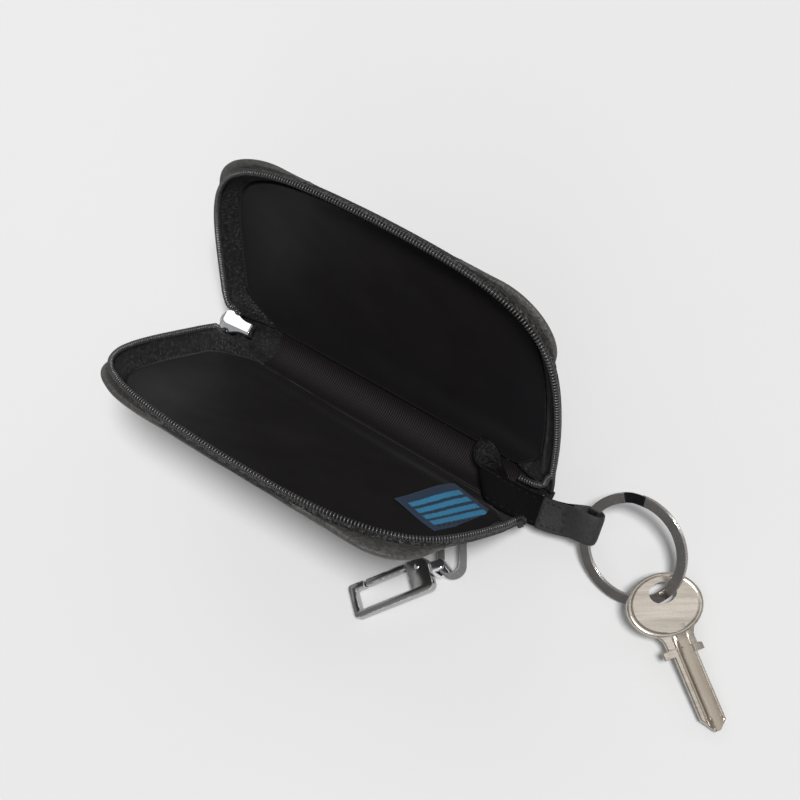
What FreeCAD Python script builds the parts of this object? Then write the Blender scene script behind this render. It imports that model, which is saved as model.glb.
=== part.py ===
import FreeCAD, Part
import math
import os
import Sketcher

# Zip-around key case, standing open in a V on its spine.
# Frame: +Z up, floor z = 0, X along the spine (+X is the key-strap end),
# the lower (front) half leans to -Y and the upper (back) half to +Y.
# The two halves turn about a line parallel to X at height hinge_height.

V = FreeCAD.Vector
doc = FreeCAD.newDocument("key_case")

# ------------------------------------------------------------------ dimensions
VALUES = [
    ("hinge_height", 8.6), ("lean_angle", 59.6),
    ("cover_half_len", 66.5), ("cover_width", 77.2), ("cover_corner", 22.0),
    ("cover_depth", 9.2), ("cover_skin", 1.2), ("cover_edge_round", 4.0), ("cover_lip", 0.4),
    ("end_notch", 9.0),
    ("board_inset", 4.3), ("board_thick", 0.75), ("board_level", 7.2),
    ("lining_inset", 4.1), ("lining_thick", 0.4), ("lining_level", 6.75),
    ("tape_half_len", 63.5), ("tape_width", 74.2), ("tape_corner", 33.0), ("tape_thick", 0.6),
    ("tape_top", 2.05), ("tape_bottom", 6.7),
    ("coil_half_len", 64.0), ("coil_width", 74.7), ("coil_corner", 33.5), ("coil_rad", 0.92),
    ("coil_level", 1.06), ("coil_start", 7.6),
    ("spine_left", -53.0), ("spine_right", 64.0), ("spine_outer", 9.2), ("spine_inner", 8.0),
    ("strip_outer", 7.95), ("strip_inner", 6.75), ("spine_open_end", 27.5),
    ("base_front", -6.0), ("base_back", 4.1),
    ("label_wide", 19.0), ("label_long", 28.5), ("label_thick", 0.35),
    ("strap_wide", 9.0), ("strap_thick", 1.7), ("strap_level", 8.3),
    ("ring_outer", 16.5), ("ring_inner", 13.9), ("ring_turn", 1.17), ("ring_gap_deg", 19.0),
    ("key_bow_across", 22.8), ("key_bow_along", 21.2), ("key_thick", 2.2), ("key_hole", 6.6),
    ("key_reach", 38.0), ("key_blade", 7.0), ("key_recess", 0.3),
    ("slider_long", 10.5), ("slider_wide", 7.0), ("slider_plate", 1.0), ("slider_mid", 2.1),
    ("clip_long", 27.0), ("clip_wide", 10.6), ("clip_thick", 3.0), ("clip_bar", 2.1),
    ("clip_window", 16.4), ("gate_pin", 1.5),
    ("loop_rad", 3.4), ("loop_thick", 1.2), ("loop_tall", 6.4), ("loop_low", 1.65), ("loop_turn", 34.0),
    ("bail_bar", 1.3), ("bail_leg", 1.2),
]
sheet = doc.addObject("Spreadsheet::Sheet", "Dims")
for i, (name, value) in enumerate(VALUES):
    sheet.set("A%d" % (i + 1), name)
    sheet.set("B%d" % (i + 1), "%g" % value)
    sheet.setAlias("B%d" % (i + 1), name)
doc.recompute()


def d(name):
    return float(sheet.get(name))


def ref(name):
    return "Dims." + name


nodes = []


def keep(obj, label, placement=None):
    """Names a finished sub-part and puts it in its place."""
    obj.Label = label
    if placement is not None:
        obj.Placement = placement
    nodes.append(obj)
    return obj


def turn(axis, deg, base=V(0, 0, 0)):
    return FreeCAD.Placement(base, FreeCAD.Rotation(axis, deg))


def axes(origin, xdir, ydir):
    """Placement with local x along xdir and local y as near to ydir as it can be."""
    x = V(*xdir).normalize()
    y = V(*ydir)
    y = (y - x * x.dot(y)).normalize()
    z = x.cross(y)
    m = FreeCAD.Matrix(x.x, y.x, z.x, origin[0], x.y, y.y, z.y, origin[1], x.z, y.z, z.z, origin[2], 0, 0, 0, 1)
    return FreeCAD.Placement(m)


HINGE = V(0, 0, d("hinge_height"))
LEAN = d("lean_angle")
# half frames: local x along the spine, local y from the hinge line to the free edge, local z outwards
LOWER = turn(V(1, 0, 0), 180 - LEAN, HINGE)
UPPER = turn(V(1, 0, 0), LEAN - 180, HINGE).multiply(turn(V(0, 0, 1), 180))


def origin_plane(body, role):
    for f in body.Origin.OriginFeatures:
        if f.Role == role:
            return f
    raise RuntimeError("no plane " + role)


def new_body(name):
    return doc.addObject("PartDesign::Body", name)


def new_sketch(body, name, role="XY_Plane", lift=0.0, lift_expr=None):
    sk = body.newObject("Sketcher::SketchObject", name)
    sk.AttachmentSupport = [(origin_plane(body, role), "")]
    sk.MapMode = "FlatFace"
    sk.AttachmentOffset = FreeCAD.Placement(V(0, 0, lift), FreeCAD.Rotation())
    if lift_expr:
        sk.setExpression("AttachmentOffset.Base.z", lift_expr)
    return sk


def seg(p, q):
    return Part.LineSegment(V(p[0], p[1], 0), V(q[0], q[1], 0))


def arc(c, r, a0, a1):
    return Part.ArcOfCircle(Part.Circle(V(c[0], c[1], 0), V(0, 0, 1), r), math.radians(a0), math.radians(a1))


def closed(sk, geos, joins=True):
    """Adds a closed run of lines and arcs; arcs drawn against the run meet end for start."""
    first = sk.GeometryCount
    for g in geos:
        sk.addGeometry(g, False)
    if joins:
        n = len(geos)
        for i in range(n):
            j = (i + 1) % n
            best = None
            for a in (1, 2):
                for b in (1, 2):
                    pa = geos[i].StartPoint if a == 1 else geos[i].EndPoint
                    pb = geos[j].StartPoint if b == 1 else geos[j].EndPoint
                    gap = (pa - pb).Length
                    if best is None or gap < best[0]:
                        best = (gap, a, b)
            sk.addConstraint(Sketcher.Constraint("Coincident", first + i, best[1], first + j, best[2]))
    return first


def polygon(sk, pts):
    return closed(sk, [seg(pts[i], pts[(i + 1) % len(pts)]) for i in range(len(pts))])


def pad(body, sk, name, length, expr=None, reverse=False, mid=False):
    p = body.newObject("PartDesign::Pad", name)
    p.Profile = sk
    p.Length = length
    if expr:
        p.setExpression("Length", expr)
    p.Reversed = reverse
    p.Midplane = mid
    doc.recompute()
    return p


def pocket(body, sk, name, length, expr=None, reverse=False, mid=False):
    before = body.Shape.Volume
    p = body.newObject("PartDesign::Pocket", name)
    p.Profile = sk
    p.Length = length
    if expr:
        p.setExpression("Length", expr)
    p.Reversed = reverse
    p.Midplane = mid
    doc.recompute()
    if not body.Shape.Volume < before - 1e-6:
        raise RuntimeError("%s cut nothing" % name)
    return p


def box(name, l, w, t, place, exprs=None):
    b = doc.addObject("Part::Box", name)
    b.Length, b.Width, b.Height = l, w, t
    for prop, e in (exprs or {}).items():
        b.setExpression(prop, e)
    b.Placement = place
    return b


def cyl(name, r, t, place, exprs=None):
    c = doc.addObject("Part::Cylinder", name)
    c.Radius, c.Height = r, t
    for prop, e in (exprs or {}).items():
        c.setExpression(prop, e)
    c.Placement = place
    return c


def cut(name, base, tool):
    c = doc.addObject("Part::Cut", name)
    c.Base, c.Tool = base, tool
    return c


def fuse(name, shapes):
    f = doc.addObject("Part::MultiFuse", name)
    f.Shapes = shapes
    return f


at = lambda x, y, z: FreeCAD.Placement(V(x, y, z), FreeCAD.Rotation())


# ------------------------------------------------------------------ the two halves
def u_outline(hl, w, r, w0):
    """Closed outline with two rounded free corners, open side at w0."""
    return [
        seg((-hl, w0), (hl, w0)),
        seg((hl, w0), (hl, w - r)),
        arc((hl - r, w - r), r, 0, 90),
        seg((hl - r, w), (-hl + r, w)),
        arc((-hl + r, w - r), r, 90, 180),
        seg((-hl, w - r), (-hl, w0)),
    ]


def bind_u(sk, first, half_len, width, corner):
    """Ties the outline's length, width and corner radius to the sheet."""
    c = sk.addConstraint(Sketcher.Constraint("DistanceX", first, 1, first, 2, 2 * d(half_len)))
    sk.setExpression("Constraints[%d]" % c, "2 * " + ref(half_len))
    c = sk.addConstraint(Sketcher.Constraint("Radius", first + 2, d(corner)))
    sk.setExpression("Constraints[%d]" % c, ref(corner))
    c = sk.addConstraint(Sketcher.Constraint("Radius", first + 4, d(corner)))
    sk.setExpression("Constraints[%d]" % c, ref(corner))


def make_cover(tag, place):
    b = new_body("Cover_" + tag)
    depth, lip = d("cover_depth"), d("cover_lip")
    sk = new_sketch(b, "CoverOutline_" + tag, lift=lip, lift_expr=ref("cover_lip"))
    f0 = closed(sk, u_outline(d("cover_half_len"), d("cover_width"), d("cover_corner"), 0.0))
    bind_u(sk, f0, "cover_half_len", "cover_width", "cover_corner")
    pad(b, sk, "CoverBlock_" + tag, depth - lip, "Dims.cover_depth - Dims.cover_lip")
    block = b.Tip
    names = []
    for i, e in enumerate(block.Shape.Edges):
        bb = e.BoundBox
        if bb.ZMin > depth - 0.01 and not (bb.YMax < 0.01):
            names.append("Edge%d" % (i + 1))
    fl = b.newObject("PartDesign::Fillet", "CoverRound_" + tag)
    fl.Base = (block, names)
    fl.Radius = d("cover_edge_round")
    fl.setExpression("Radius", ref("cover_edge_round"))
    doc.recompute()
    # hollow from the zip side: shell skin thick, open at the zip side and at the spine side
    open_faces = []
    for i, f in enumerate(fl.Shape.Faces):
        bb = f.BoundBox
        if bb.ZMax < lip + 0.01 or bb.YMax < 0.01:
            open_faces.append("Face%d" % (i + 1))
    th = b.newObject("PartDesign::Thickness", "CoverShell_" + tag)
    th.Base = (fl, open_faces)
    th.Value = d("cover_skin")
    th.setExpression("Value", ref("cover_skin"))
    th.Reversed = True
    th.Mode = 0
    th.Join = 0
    doc.recompute()
    # end walls stop short of the spine so that the slider and the strap have room
    sk = new_sketch(b, "CoverNotch_" + tag, lift=lip)
    hl = d("cover_half_len")
    polygon(sk, [(-hl - 1, -1), (hl + 1, -1), (hl + 1, d("end_notch")), (-hl - 1, d("end_notch"))])
    pocket(b, sk, "CoverNotchCut_" + tag, depth - d("cover_skin") - lip, "Dims.cover_depth - Dims.cover_skin - Dims.cover_lip", reverse=True)
    return keep(b, tag + "_cover", place)


def make_plate(tag, what, inset, level, thick, w0, place):
    b = new_body(what + "_" + tag)
    sk = new_sketch(b, what + "Outline_" + tag, lift=d(level), lift_expr=ref(level))
    ins = d(inset)
    hl, w, r = d("cover_half_len") - ins, d("cover_width") - ins, d("cover_corner") - ins
    f0 = closed(sk, u_outline(hl, w, r, w0))
    c = sk.addConstraint(Sketcher.Constraint("DistanceX", f0, 1, f0, 2, 2 * hl))
    sk.setExpression("Constraints[%d]" % c, "2 * (Dims.cover_half_len - %s)" % ref(inset))
    pad(b, sk, what + "Pad_" + tag, d(thick), ref(thick))
    return keep(b, "%s_%s" % (tag, what.lower()), place)


def make_tape(tag, place):
    b = new_body("Tape_" + tag)
    sk = new_sketch(b, "TapeOutline_" + tag, lift=d("tape_top"), lift_expr=ref("tape_top"))
    hl, w, r, t, w0 = d("tape_half_len"), d("tape_width"), d("tape_corner"), d("tape_thick"), d("end_notch")
    i, j = hl - t, r - t
    closed(sk, [
        seg((hl, w0), (hl, w - r)), arc((hl - r, w - r), r, 0, 90), seg((hl - r, w), (-hl + r, w)),
        arc((-hl + r, w - r), r, 90, 180), seg((-hl, w - r), (-hl, w0)), seg((-hl, w0), (-i, w0)),
        seg((-i, w0), (-i, w - r)), arc((-hl + r, w - r), j, 90, 180), seg((-hl + r, w - t), (hl - r, w - t)),
        arc((hl - r, w - r), j, 0, 90), seg((i, w - r), (i, w0)), seg((i, w0), (hl, w0)),
    ])
    pad(b, sk, "TapePad_" + tag, d("tape_bottom") - d("tape_top"), "Dims.tape_bottom - Dims.tape_top")
    return keep(b, tag + "_zip_tape", place)


def make_coil(tag, place):
    hl, w, r, w0, lv = d("coil_half_len"), d("coil_width"), d("coil_corner"), d("coil_start"), d("coil_level")
    path = doc.addObject("Sketcher::SketchObject", "CoilPath_" + tag)
    path.Placement = at(0, 0, lv)
    for g in (seg((-hl, w0), (-hl, w - r)), arc((-hl + r, w - r), r, 90, 180), seg((-hl + r, w), (hl - r, w)),
              arc((hl - r, w - r), r, 0, 90), seg((hl, w - r), (hl, w0))):
        path.addGeometry(g, False)
    ring = doc.addObject("Part::Circle", "CoilSection_" + tag)
    ring.setExpression("Radius", ref("coil_rad"))
    ring.Placement = FreeCAD.Placement(V(-hl, w0, lv), FreeCAD.Rotation(V(1, 0, 0), -90))
    doc.recompute()
    sw = doc.addObject("Part::Sweep", "Coil_" + tag)
    sw.Sections = [ring]
    sw.Spine = (path, ["Edge%d" % k for k in range(1, 6)])
    sw.Solid = True
    sw.Frenet = False
    doc.recompute()
    return keep(sw, tag + "_zip_coil", place)


for tag, place in (("lower", LOWER), ("upper", UPPER)):
    make_cover(tag, place)
    make_plate(tag, "Board", "board_inset", "board_level", "board_thick", 0.4, place)
    make_plate(tag, "Lining", "lining_inset", "lining_level", "lining_thick", 0.3, place)
    make_tape(tag, place)
    make_coil(tag, place)

# woven label sewn to the lower lining near the strap end
lab = box("Label", d("label_wide"), d("label_long"), d("label_thick"),
          LOWER.multiply(turn(V(0, 0, 1), 7.0, V(36.0, 8.9, 6.3))),
          {"Length": ref("label_wide"), "Width": ref("label_long"), "Height": ref("label_thick")})
keep(lab, "woven_label")

# ------------------------------------------------------------------ spine
zh = d("hinge_height")
open_end = d("spine_open_end")


def on_arc(r, beta):
    """Point at radius r from the hinge line, beta degrees from straight down towards +Y."""
    return (r * math.sin(math.radians(beta)), zh - r * math.cos(math.radians(beta)))


def spine_body(name, label, pts_arcs):
    b = new_body(name)
    sk = new_sketch(b, name + "Profile", role="YZ_Plane", lift=d("spine_left"), lift_expr=ref("spine_left"))
    closed(sk, pts_arcs)
    pad(b, sk, name + "Pad", d("spine_right") - d("spine_left"), "Dims.spine_right - Dims.spine_left")
    return keep(b, label)


si, so = d("spine_inner"), d("spine_outer")
p_out = on_arc(so, -LEAN)
p_in = on_arc(si, -LEAN)
p_end = on_arc(si, open_end)
spine_body("SpineCover", "spine_cover", [
    seg(p_out, (d("base_front"), 0)), seg((d("base_front"), 0), (d("base_back"), 0)),
    seg((d("base_back"), 0), p_end), arc((0, zh), si, -90 - LEAN, -90 + open_end), seg(p_in, p_out)])
ri, ro = d("strip_inner"), d("strip_outer")
spine_body("SpineStrip", "spine_strip", [
    seg(on_arc(ri, -LEAN), on_arc(ro, -LEAN)), arc((0, zh), ro, -90 - LEAN, -90 + open_end),
    seg(on_arc(ro, open_end), on_arc(ri, open_end)), arc((0, zh), ri, -90 - LEAN, -90 + open_end)])

# ------------------------------------------------------------------ key strap
# sewn root on the spine strip, the flat run out between the zip ends, and the free loop end
keep(box("StrapRoot", 10.0, 4.0, d("strap_level") - 2.45, at(36.0, -1.6, 2.45), {"Height": "Dims.strap_level - 2.45"}), "strap_root")
keep(box("StrapRun", 30.2, d("strap_wide"), d("strap_thick"), at(36.0, -7.5, d("strap_level")),
         {"Width": ref("strap_wide"), "Height": ref("strap_thick")}), "strap_inner")

RING_C = V(92.34, 0.12, 10.5)
RING_N = V(0.04448, -0.54825, 0.83513)
RING_N.normalize()
rm = (d("ring_outer") + d("ring_inner")) / 2
# the ring's place inside the strap loop, and the tangent there
LOOP_OUT = (V(-1, 0, 0) - RING_N * RING_N.dot(V(-1, 0, 0))).normalize()
LOOP_T = RING_N.cross(LOOP_OUT)
LOOP_AT = RING_C + LOOP_OUT * rm
lf = axes(LOOP_AT, LOOP_OUT * -1.0, LOOP_T * -1.0)
loop_block = box("LoopBlock", 9.4, d("strap_wide"), 7.0, lf.multiply(at(-4.9, -d("strap_wide") / 2, -3.5)), {"Width": ref("strap_wide")})
loop_hole = box("LoopHole", 5.6, d("strap_wide") + 4, 5.0, lf.multiply(at(-2.3, -d("strap_wide") / 2 - 2, -2.5)))
# the free run is lofted from an upright section at the flex line to the near face of the loop
hw, ht = d("strap_wide") / 2 - 0.3, d("strap_thick") / 2
mid = d("strap_level") + ht
sec0 = Part.makePolygon([V(67.4, -3.0 + i * hw, mid + j * ht) for i, j in ((-1, -1), (1, -1), (1, 1), (-1, 1), (-1, -1))])
sec1 = Part.makePolygon([lf.multVec(V(-4.2, i * hw, j * ht)) for i, j in ((-1, -1), (1, -1), (1, 1), (-1, 1), (-1, -1))])
run = doc.addObject("Part::Feature", "StrapTail")
run.Shape = Part.makeLoft([sec0, sec1], True, True)
doc.recompute()
tail = cut("StrapLoop", fuse("StrapTailWhole", [loop_block, run]), loop_hole)
keep(tail, "strap_loop")

# ------------------------------------------------------------------ split ring
# two flat turns lying on each other, each with a gap where the ramp climbs from one to the other
gap = d("ring_gap_deg")
turns = []
for k, (z0, g0) in enumerate(((0.02, 0.0), (-d("ring_turn") - 0.02, gap))):
    b = new_body("RingTurn%d" % k)
    sk = new_sketch(b, "RingTurnOutline%d" % k, lift=z0)
    a0, a1 = g0 + gap / 2, g0 + 360 - gap / 2
    o, i = d("ring_outer"), d("ring_inner")
    pt = lambda r, a: (r * math.cos(math.radians(a)), r * math.sin(math.radians(a)))
    closed(sk, [arc((0, 0), o, a0, a1), seg(pt(o, a1), pt(i, a1)), arc((0, 0), i, a0, a1), seg(pt(i, a0), pt(o, a0))])
    pad(b, sk, "RingTurnPad%d" % k, d("ring_turn"), ref("ring_turn"))
    turns.append(b)
ramp = new_body("RingRamp")
sk = new_sketch(ramp, "RingRampProfile", role="XZ_Plane")
half = math.sin(math.radians(gap / 2)) * rm
t = d("ring_turn") + 0.02
polygon(sk, [(-half * 1.25, -0.02), (-half * 1.25, t), (half * 1.15, 0.02), (half * 1.15, -t), (half * 0.9, -t)])
pad(ramp, sk, "RingRampPad", d("ring_outer") - d("ring_inner") - 0.06, "Dims.ring_outer - Dims.ring_inner - 0.06", mid=True)
ramp.Placement = turn(V(0, 0, 1), -90 + gap / 2, V(rm * math.cos(math.radians(gap / 2)), rm * math.sin(math.radians(gap / 2)), 0)).multiply(turn(V(0, 0, 1), 180))
doc.recompute()
ring = fuse("SplitRing", turns + [ramp])
RAMP_DIR = (V(-0.52, 0.84, 0.5) - RING_N * RING_N.dot(V(-0.52, 0.84, 0.5))).normalize()
keep(ring, "split_ring", axes(RING_C, RAMP_DIR, RING_N.cross(RAMP_DIR)))

# ------------------------------------------------------------------ key
# local x from the middle of the bow to the tip, y across, z up out of the plate
k = new_body("Key")
th = d("key_thick")
sk = new_sketch(k, "BowOutline", lift=-th / 2, lift_expr="-Dims.key_thick / 2")
sk.addGeometry(Part.Ellipse(V(0, d("key_bow_across") / 2, 0), V(d("key_bow_along") / 2, 0, 0), V(0, 0, 0)), False)
pad(k, sk, "BowPad", th, ref("key_thick"))
reach, bw = d("key_reach"), d("key_blade")
sk = new_sketch(k, "BladeOutline", lift=-1.0)
polygon(sk, [(8.2, -4.6), (13.2, -4.6), (13.2, -6.4), (15.4, -6.4), (15.4, -bw / 2), (reach - 4.2, -bw / 2), (reach, -0.6),
             (reach, 0.9), (reach - 2.4, bw / 2), (15.4, bw / 2), (15.4, 6.0), (13.6, 6.0), (13.2, 4.6), (8.2, 4.6)])
pad(k, sk, "BladePad", 2.0)
for side, (lift, rev) in (("Top", (th / 2, False)), ("Under", (-th / 2, True))):
    sk = new_sketch(k, "BowRecess" + side, lift=lift)
    sk.addGeometry(Part.Ellipse(V(-0.3, d("key_bow_across") / 2 - 1.5, 0), V(d("key_bow_along") / 2 - 1.8, 0, 0), V(-0.3, 0, 0)), False)
    pocket(k, sk, "BowRecessCut" + side, d("key_recess"), ref("key_recess"), reverse=rev)
sk = new_sketch(k, "KeyHole", lift=th)
sk.addGeometry(Part.Circle(V(-2.9, 1.6, 0), V(0, 0, 1), d("key_hole") / 2), False)
c = sk.addConstraint(Sketcher.Constraint("Diameter", 0, d("key_hole")))
sk.setExpression("Constraints[%d]" % c, ref("key_hole"))
pocket(k, sk, "KeyHoleCut", 2 * th, "2 * Dims.key_thick")
for nm, y0, y1, lift, rev in (("GrooveA", -1.9, -0.6, 1.0, False), ("GrooveB", 0.7, 1.9, 1.0, False),
                              ("GrooveC", -0.5, 0.6, -1.0, True), ("GrooveD", 2.0, 2.9, -1.0, True)):
    sk = new_sketch(k, nm, lift=lift)
    polygon(sk, [(10.9, y0), (reach + 1, y0), (reach + 1, y1), (10.9, y1)])
    pocket(k, sk, nm + "Cut", 0.5, reverse=rev)
KEY = axes((107.02, -8.32, 6.95), (0.79319, -0.59638, -0.12317), (0.47596, 0.7333, -0.48552))
keep(k, "key", KEY)

# ------------------------------------------------------------------ zip slider and puller
# lies along the spine at its left end, wide end to -X, inner plate up, bridge and puller underneath
def shield(b, name, lift, length, wide_expr=None):
    sk = new_sketch(b, name, lift=lift)
    h = d("slider_wide") / 2
    e = d("slider_long")
    closed(sk, [arc((h, 0), h, 90, 270), seg((h, -h), (e - 0.8, -h + 0.9)), seg((e - 0.8, -h + 0.9), (e, -h + 1.7)),
                seg((e, -h + 1.7), (e, h - 1.7)), seg((e, h - 1.7), (e - 0.8, h - 0.9)), seg((e - 0.8, h - 0.9), (h, h))])
    return pad(b, sk, name + "Pad", length, ref("slider_plate"))


sl = new_body("Slider")
shield(sl, "OuterPlate", 0.0, d("slider_plate"))
sk = new_sketch(sl, "Wedge", lift=d("slider_plate"))
polygon(sk, [(0.5, 0.0), (2.6, -1.15), (6.2, 0.0), (2.6, 1.15)])
pad(sl, sk, "WedgePad", d("slider_mid"), ref("slider_mid"))
shield(sl, "InnerPlate", d("slider_plate") + d("slider_mid"), d("slider_plate"))
SL = at(-66.2, 0, 4.9)
keep(sl, "zip_slider", SL)
br = new_body("Bridge")
sk = new_sketch(br, "BridgeSide", role="XZ_Plane")
polygon(sk, [(2.2, 0), (2.2, -1.2), (3.0, -1.95), (7.6, -1.95), (8.4, -1.2), (8.4, 0), (7.3, 0), (7.3, -1.05), (3.3, -1.05), (3.3, 0)])
pad(br, sk, "BridgePad", 1.4, mid=True)
keep(br, "slider_bridge", SL)
# wire link round the bridge bar, and the flat pull tab on it
lk = new_body("PullLink")
sk = new_sketch(lk, "LinkSide", role="YZ_Plane")
y0, y1, z0, z1, w = -5.4, 3.2, 2.0, 4.75, 0.8
polygon(sk, [(y0, z0), (y1, z0), (y1, z1), (y0, z1)])
polygon(sk, [(y0 + w, z0 + w), (y1 - w, z0 + w), (y1 - w, z1 - w), (y0 + w, z1 - w)])
pad(lk, sk, "LinkPad", 0.9, mid=True)
keep(lk, "pull_link", at(-60.9, 0, 0))
tb = new_body("PullTab")
sk = new_sketch(tb, "TabOutline", lift=-0.4)
closed(sk, [seg((2.4, 0.6), (3.2, -21.5)), arc((0, -21.5), 3.2, 180, 360), seg((-3.2, -21.5), (-2.4, 0.6)), seg((-2.4, 0.6), (-1.4, 1.6)), seg((-1.4, 1.6), (1.4, 1.6)), seg((1.4, 1.6), (2.4, 0.6))])
polygon(sk, [(-1.0, -1.7), (1.0, -1.7), (1.0, 0.7), (-1.0, 0.7)])
pad(tb, sk, "TabPad", 0.8)
keep(tb, "pull_tab", turn(V(1, 0, 0), 5.6, V(-60.9, -4.5, 3.32)))

# ------------------------------------------------------------------ clip on its leather loop
LOOP_C = V(45.2, -29.6, 0)
lp = new_body("ClipLoop")
sk = new_sketch(lp, "LoopPlan", lift=d("loop_low"), lift_expr=ref("loop_low"))
R, t = d("loop_rad"), d("loop_thick")
o, i = R + t / 2, R - t / 2
top = 16.5
closed(sk, [seg((-o, top), (-o, 0)), arc((0, 0), o, 180, 360), seg((o, 0), (o, top)), seg((o, top), (i, top)),
            seg((i, top), (i, 0)), arc((0, 0), i, 180, 360), seg((-i, 0), (-i, top)), seg((-i, top), (-o, top))])
pad(lp, sk, "LoopPad", d("loop_tall"), ref("loop_tall"))
keep(lp, "clip_loop", turn(V(0, 0, 1), d("loop_turn"), LOOP_C))
keep(box("ClipTab", 11.0, 8.0, 1.1, LOWER.multiply(at(30.5, 1.2, d("cover_depth") + 0.02))), "clip_tab")

# bail: a square wire frame standing on edge round the loop's strap
BAIL_DIR = V(-0.659, -0.752, 0).normalize()
tall = d("loop_tall")
bl = new_body("Bail")
sk = new_sketch(bl, "BailSide", role="XZ_Plane")
w = d("bail_bar")
leg = d("bail_leg")
za, zb = d("loop_low") - 0.25 - leg, d("loop_low") + tall + 0.25 + leg
xa, xb = R - t / 2 - 0.35 - w, R + t / 2 + 0.35 + w
polygon(sk, [(xa, za), (xb, za), (xb, zb), (xa, zb)])
polygon(sk, [(xa + w, za + leg), (xb - w, za + leg), (xb - w, zb - leg), (xa + w, zb - leg)])
pad(bl, sk, "BailPad", 2.0, mid=True)
sk = new_sketch(bl, "BailEye", role="YZ_Plane", lift=xb - w - 0.5)
ZC = (za + zb) / 2
sk.addGeometry(Part.Circle(V(0, ZC + 0.16, 0), V(0, 0, 1), 0.85), False)
pocket(bl, sk, "BailEyeCut", w + 1.0, reverse=True)
BAIL = axes((LOOP_C.x, LOOP_C.y, 0), BAIL_DIR, (BAIL_DIR.y * -1, BAIL_DIR.x, 0))
keep(bl, "clip_bail", BAIL)

# carabiner: local x from the nose to the swivel end, y towards the gate side, z up
TOE = 6.6
end = V(LOOP_C.x, LOOP_C.y, ZC) + BAIL_DIR * (xb + 0.75)
cx = V(-BAIL_DIR.x * math.cos(math.radians(TOE)), -BAIL_DIR.y * math.cos(math.radians(TOE)), math.sin(math.radians(TOE)))
L, W, T, bar = d("clip_long"), d("clip_wide"), d("clip_thick"), d("clip_bar")
CLIP = axes(end - cx * L, cx, (-cx.y, cx.x, 0))
fr = new_body("ClipFrame")
sk = new_sketch(fr, "FrameOutline", lift=-T / 2, lift_expr="-Dims.clip_thick / 2")
h = W / 2
closed(sk, [seg((1.2, -h), (L - 2.0, -h)), arc((L - 2.0, -h + 2.0), 2.0, 270, 360), seg((L, -h + 2.0), (L, h - 2.6)), arc((L - 2.6, h - 2.6), 2.6, 0, 90),
            seg((L - 2.6, h), (1.2, h)), arc((1.2, h - 1.2), 1.2, 90, 180), seg((0, h - 1.2), (0, -h + 1.2)), arc((1.2, -h + 1.2), 1.2, 180, 270)])
pad(fr, sk, "FramePad", T, ref("clip_thick"))
x0, x1 = 2.2, 2.2 + d("clip_window")
sk = new_sketch(fr, "Window", lift=T)
polygon(sk, [(x0, -h + bar), (x1, -h + bar), (x1, h + 1), (5.5, h + 1), (5.5, h - bar), (x0, h - bar)])
pocket(fr, sk, "WindowCut", 2 * T)
sk = new_sketch(fr, "GateSlot", lift=0.0)
polygon(sk, [(x1 - 1, 0.9), (26.0, 0.9), (26.0, h + 1), (x1 - 1, h + 1)])
pocket(fr, sk, "GateSlotCut", 1.5, mid=True)
PX, PY = 23.4, 3.1
sk = new_sketch(fr, "PinHole", lift=T)
sk.addGeometry(Part.Circle(V(PX, PY, 0), V(0, 0, 1), d("gate_pin") / 2), False)
pocket(fr, sk, "PinHoleCut", 2 * T)
sk = new_sketch(fr, "StudBore", role="YZ_Plane", lift=L - 3.2)
sk.addGeometry(Part.Circle(V(0, 0, 0), V(0, 0, 1), 0.62), False)
pocket(fr, sk, "StudBoreCut", 4.0, reverse=True)
sk = new_sketch(fr, "SpringBore", role="YZ_Plane", lift=x1 + 0.6)
sk.addGeometry(Part.Circle(V(-0.2, 0, 0), V(0, 0, 1), 0.6), False)
pocket(fr, sk, "SpringBoreCut", 4.4, reverse=True)
keep(fr, "clip_frame", CLIP)
# swivel stud through the bail's eye into the end of the frame
keep(cyl("Stud", 0.6, 5.15, CLIP.multiply(FreeCAD.Placement(V(L - 3.0, 0, 0), FreeCAD.Rotation(V(0, 1, 0), 90)))), "swivel_stud")
keep(cyl("GatePin", d("gate_pin") / 2, T + 0.3, CLIP.multiply(at(PX, PY, -T / 2 - 0.15)), {"Radius": "Dims.gate_pin / 2"}), "gate_pin")
keep(cyl("GateSpring", 0.55, 3.8, CLIP.multiply(FreeCAD.Placement(V(x1 + 0.8, -0.2, 0), FreeCAD.Rotation(V(0, 1, 0), 90)))), "gate_spring")
gt = new_body("Gate")
sk = new_sketch(gt, "GateBar", lift=-T / 2 + 0.05)
polygon(sk, [(5.8, h - bar + 0.05), (17.4, h - bar + 0.05), (17.4, h - 0.05), (5.8, h - 0.05)])
pad(gt, sk, "GateBarPad", T - 0.1)
sk = new_sketch(gt, "GateTongue", lift=0.0)
closed(sk, [seg((16.8, 4.6), (PX, 4.6)), arc((PX, PY), 1.5, 270, 450), seg((PX, 1.6), (20.0, 1.9)), seg((20.0, 1.9), (16.8, 3.3)), seg((16.8, 3.3), (16.8, 4.6))])
pad(gt, sk, "GateTonguePad", 1.2, mid=True)
sk = new_sketch(gt, "GateEye", lift=T)
sk.addGeometry(Part.Circle(V(PX, PY, 0), V(0, 0, 1), d("gate_pin") / 2 + 0.04), False)
pocket(gt, sk, "GateEyeCut", 2 * T)
keep(gt, "clip_gate", CLIP)

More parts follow.
